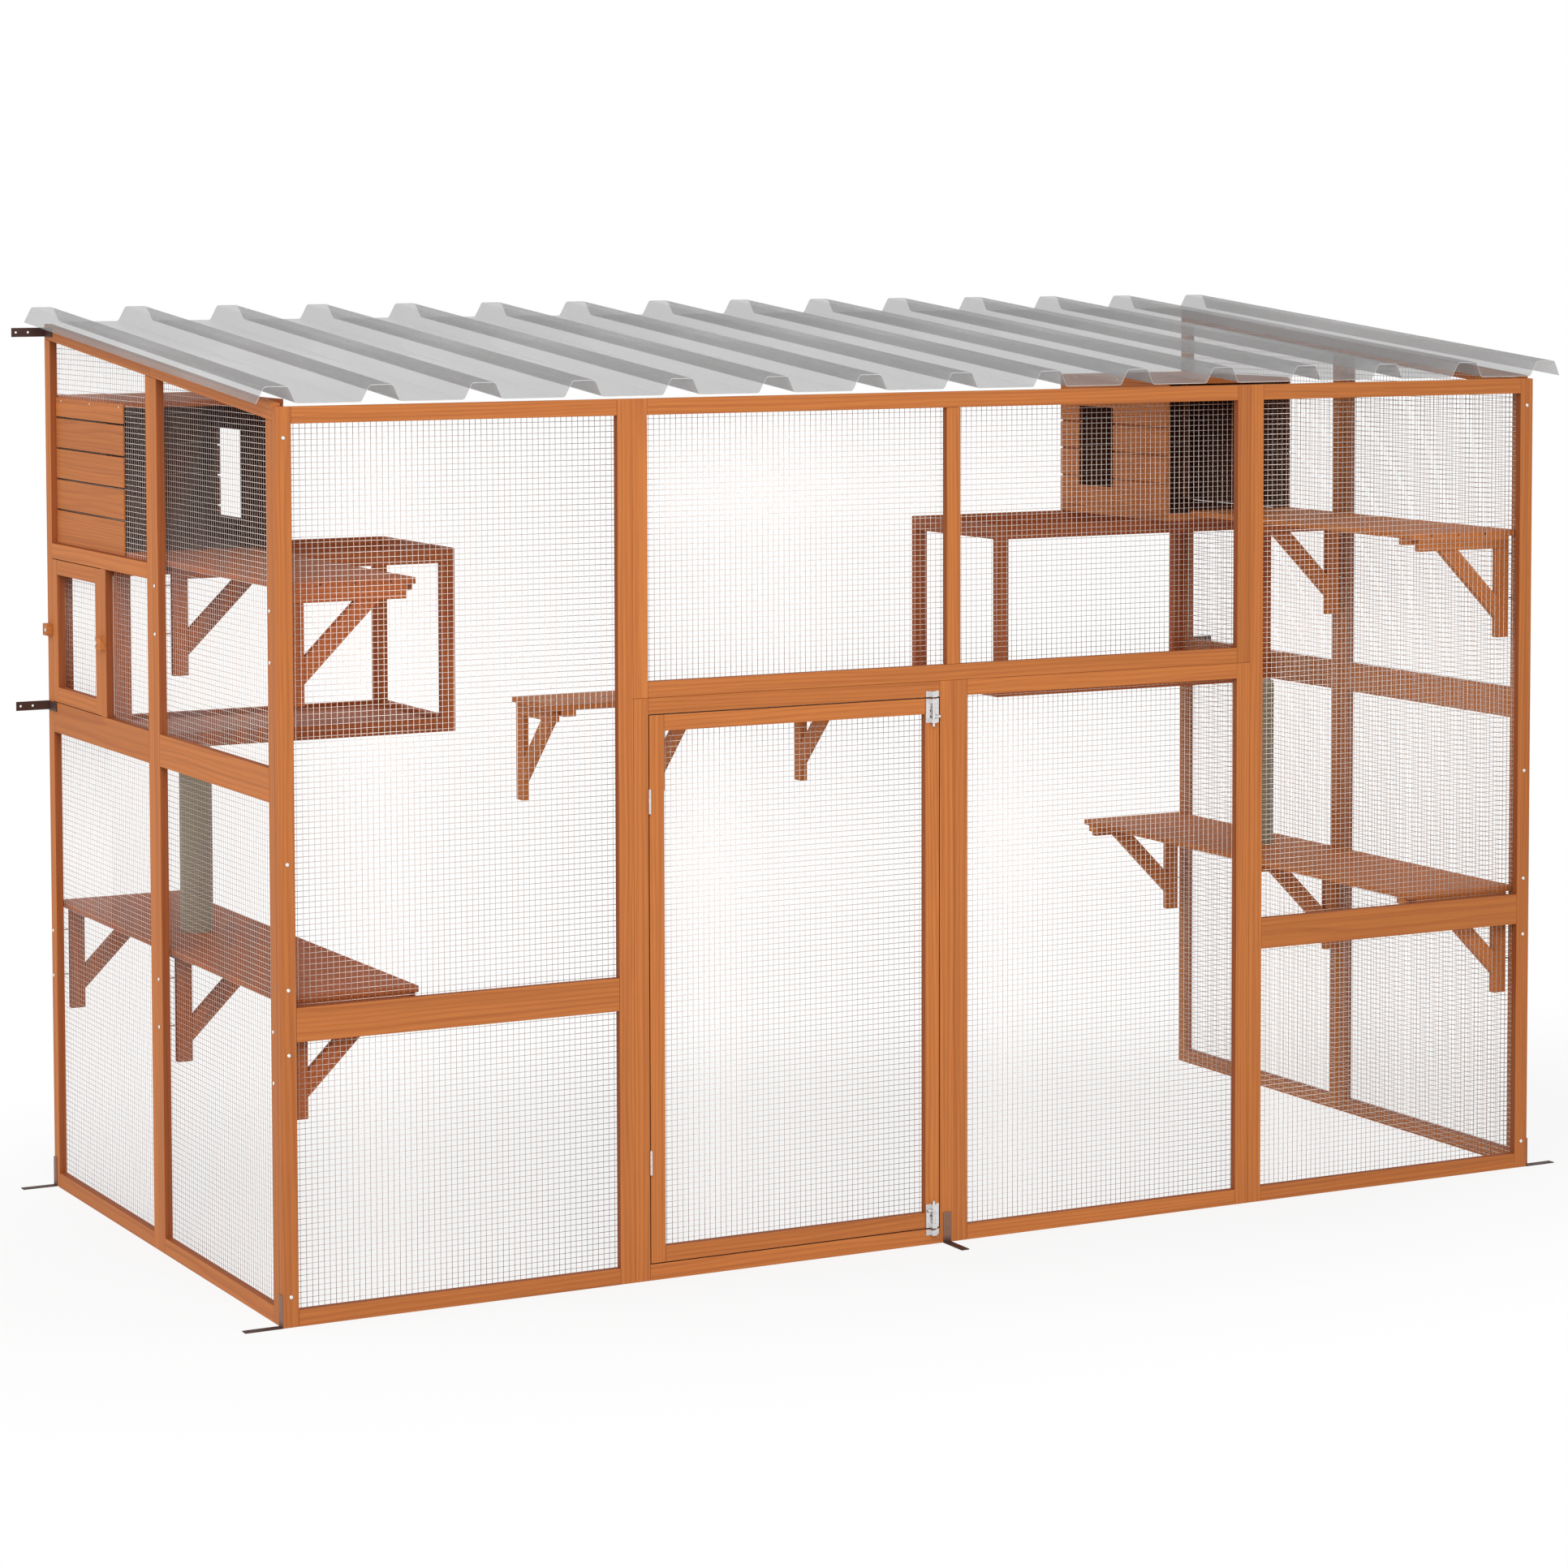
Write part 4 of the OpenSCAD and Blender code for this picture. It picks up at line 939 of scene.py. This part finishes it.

# %% [markdown]
# ## Small screws on the door and the cat houses
# The hinges are fixed from the edge, so none of their screws show. Each bolt's plate has two
# holes, and a screw is sunk in each; its dark brown coat is painted shade for the hole. Three
# small screws hold the top board of each cat house's outer wall, and three more its roof board's
# inner edge. A row of three dark ones is in the front edge of each high platform. Their places
# are measured from those pieces' own corners.

# %% Place the small screws
FORWARD = (0, -1, 0)
SIDES = (("left", -1), ("right", 1))
PLATE_HOLES = (12.5 * MM, 25 * MM)  # from the end of the plate
HOLE_ASIDE = 4.5 * MM  # from the middle of the plate
TOP_BOLT_ABOVE = 0.6  # metres
BOARD_HOLES = (24 * MM, 216 * MM, 410 * MM)  # from the board's front end
EDGE_HOLES = (84, 156, 230)  # mm from the platform's wall side

plate_spots = []
for xs, ys, zs in spans("bolt_plates"):
    for far in PLATE_HOLES:
        z = zs[0] + far if sum(zs) / 2 > TOP_BOLT_ABOVE else zs[1] - far
        plate_spots.append((Vector((sum(xs) / 2 - HOLE_ASIDE, ys[1], z)), FORWARD))
board_spots, edge_spots = [], []
for side, out in SIDES:
    xs, ys, zs = max(outer_boards(side), key=lambda span: span[2][1])
    face = xs[0] if out < 0 else xs[1]
    roof_low, roof_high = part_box(side + "_condo_roof")
    inner = roof_high.x if out < 0 else roof_low.x
    for far in BOARD_HOLES:
        board_spots.append((Vector((face, ys[0] + far, zs[1] - 7 * MM)), (out, 0, 0)))
        board_spots.append((Vector((inner, ys[0] + far, roof_high.z - 5 * MM)), (-out, 0, 0)))
    low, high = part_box(side + "_platform")
    wall = low.x if out < 0 else high.x
    edge_spots += [(Vector((wall - out * far * MM, low.y, (low.z + high.z) / 2)), FORWARD)
                   for far in EDGE_HOLES]
# painted shade: the plate screws take the dark brown coat so that their holes look dark
place_screws("door_screws", plate_spots, "door", 1.8 * MM, 0.8 * MM, BROWN_COAT)
place_screws("board_screws", board_spots, "catio", 2.4 * MM, 0.8 * MM)
place_screws("edge_screws", edge_spots, "catio", 2.4 * MM, 0.5 * MM, BROWN_COAT)

# %% [markdown]
# ## Screws in the straps
# Each strap is fixed to its own post with two screws, under the same coat as the strap. The
# straps of the side walls are screwed on from the side, and the one in the middle of the front
# wall from the front.

# %% Place the straps' screws
STRAP = 2 * MM
WALL_HOLES = (10 * MM, 29 * MM)  # from the strap's front end
LOW_HOLE = 32.5 * MM  # above the ground
TOP_HOLE = 10 * MM  # below the strap's top
MIDDLE_WITHIN = 0.5  # metres from the enclosure's middle

wall_spots, ground_spots = [], []
for xs, ys, zs in spans("wall_brackets"):
    out = -1 if sum(xs) < 0 else 1
    face = xs[1] - STRAP if out < 0 else xs[0] + STRAP
    wall_spots += [(Vector((face, ys[0] + far, sum(zs) / 2)), (out, 0, 0)) for far in WALL_HOLES]
for xs, ys, zs in spans("ground_brackets"):
    middle = sum(xs) / 2
    out = -1 if middle < 0 else 1
    face = xs[1] - STRAP if out < 0 else xs[0] + STRAP
    for z in (zs[1] - TOP_HOLE, LOW_HOLE):
        if abs(middle) < MIDDLE_WITHIN:
            ground_spots.append((Vector((middle, ys[1] - STRAP, z)), FORWARD))
        else:
            ground_spots.append((Vector((face, sum(ys) / 2, z)), (out, 0, 0)))
place_screws("wall_strap_screws", wall_spots, "catio", 3.4 * MM, 1.0 * MM, BROWN_COAT)
place_screws("ground_strap_screws", ground_spots, "catio", 3.4 * MM, 0.6 * MM, REFLECTION_PAINTED_COAT)

# %% [markdown]
# ## The camera
# The photograph's camera was found from the straight edges of the enclosure: where it stood,
# how it was turned and how long its lens was. The frame of the picture is a crop, which a shift
# of the lens repeats without turning the camera.

# %% Place the camera
CAMERA_AT = (-4.40253, -8.27744, 2.12232)
yaw, pitch, roll = 0.48493, 0.0606, 0.00221  # radians

camera_data = bpy.data.cameras.new("photo_camera")
camera_data.sensor_width = 36
camera_data.lens = 97.01
camera_data.shift_y = -0.1894
camera_data.clip_end = 60
camera = bpy.data.objects.new("photo_camera", camera_data)
bpy.context.scene.collection.objects.link(camera)
forward = Vector((math.sin(yaw) * math.cos(pitch), math.cos(yaw) * math.cos(pitch),
                  -math.sin(pitch)))
level = Vector((math.cos(yaw), -math.sin(yaw), 0))
down = forward.cross(level)
across_axis = level * math.cos(roll) + down * math.sin(roll)
down_axis = down * math.cos(roll) - level * math.sin(roll)
turned = Matrix((across_axis, -down_axis, -forward)).transposed().to_4x4()
camera.matrix_world = Matrix.Translation(CAMERA_AT) @ turned
bpy.context.scene.camera = camera
print("camera at", [round(v, 2) for v in CAMERA_AT], "lens", round(camera_data.lens, 2))

# %% [markdown]
# ## A white studio
# The enclosure stands on a pale floor before a white backdrop. More lamps would bleach the
# wood, so the white comes from what the camera sees: the world and the floor show white to the
# camera, to mirrors and through glass, and stay at a plain level for the light they give. Close
# to the enclosure the floor is partly a plain matt surface, which keeps a pale shadow.


# %% The floor
def direct_view(tree):
    rays = add_node(tree, "ShaderNodeLightPath").outputs
    seen = rays["Is Camera Ray"]
    for ray in ("Is Glossy Ray", "Is Transmission Ray"):
        seen = add_node(tree, "ShaderNodeMath", {"operation": "MAXIMUM"},
                        i0=seen, i1=rays[ray]).outputs[0]
    return seen


FLOOR_SIZE = 60
FLOOR_OVAL = (0.55, 1, 0)  # the matt part is an oval, wider than deep as the enclosure is

tree = finish_named("white studio floor")
ground = add_node(tree, "ShaderNodeTexCoord").outputs["Object"]
spread = add_node(tree, "ShaderNodeVectorMath", {"operation": "MULTIPLY"},
                  i0=ground, i1=FLOOR_OVAL).outputs[0]
far = add_node(tree, "ShaderNodeVectorMath", {"operation": "LENGTH"}, i0=spread).outputs["Value"]
fade = add_node(tree, "ShaderNodeMapRange", {"interpolation_type": "SMOOTHSTEP"}, Value=far,
                From_Min=0.7, From_Max=2.0, To_Min=0.82, To_Max=1.0).outputs["Result"]
share = add_node(tree, "ShaderNodeMath", {"operation": "MULTIPLY"},
                 i0=direct_view(tree), i1=fade).outputs[0]
pale = add_node(tree, "ShaderNodeBsdfDiffuse", Color=(0.8, 0.8, 0.8, 1)).outputs[0]
white = add_node(tree, "ShaderNodeEmission", Color=(1, 1, 1, 1), Strength=1.0).outputs[0]
mixed = add_node(tree, "ShaderNodeMixShader", i0=share, i1=pale, i2=white).outputs[0]
add_node(tree, "ShaderNodeOutputMaterial", Surface=mixed)
bpy.ops.mesh.primitive_plane_add(size=FLOOR_SIZE, location=(0, 0, -0.5 * MM))
floor = bpy.context.object
floor.name = "floor"
floor.data.materials.append(bpy.data.materials["white studio floor"])
floor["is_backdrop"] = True
print("floor", FLOOR_SIZE, "metres wide")

# %% [markdown]
# ## Backdrop and lamps
# The world gives most of the light, evenly from all around. One large lamp in front and a weaker
# one at the left model the edges. Their areas are wide, so the shadows are soft.

# %% The backdrop and the lamps
world = bpy.data.worlds.new("white studio")
bpy.context.scene.world = world
world.use_nodes = True
world.node_tree.nodes.clear()
tree = world.node_tree
plain = add_node(tree, "ShaderNodeBackground", Color=(1, 1, 1, 1), Strength=0.62).outputs[0]
bright = add_node(tree, "ShaderNodeBackground", Color=(1, 1, 1, 1), Strength=1.0).outputs[0]
both = add_node(tree, "ShaderNodeMixShader", i0=direct_view(tree), i1=plain, i2=bright).outputs[0]
add_node(tree, "ShaderNodeOutputWorld", Surface=both)


def soft_lamp(name, place, target, size, power):
    lamp = bpy.data.lights.new(name, "AREA")
    lamp.shape = "RECTANGLE"
    lamp.size, lamp.size_y = size
    lamp.energy = power
    holder = bpy.data.objects.new(name, lamp)
    bpy.context.scene.collection.objects.link(holder)
    holder.location = place
    way = Vector(target) - Vector(place)
    holder.rotation_euler = way.to_track_quat("-Z", "Y").to_euler()


soft_lamp("front_light", (-3.5, -6.5, 5.0), (0, 0, 0.9), (4.5, 3.5), 330)
soft_lamp("left_light", (-7.5, 0.5, 4.0), (-1, 0, 1.0), (3.5, 3.5), 100)
bpy.context.scene.view_settings.view_transform = "Standard"
print("world and two lamps")

# %% [markdown]
# ## The enclosure's size at the end
# Blender must not change the enclosure's size, so its box is measured at the end.

# %% Measure the box
low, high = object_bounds()
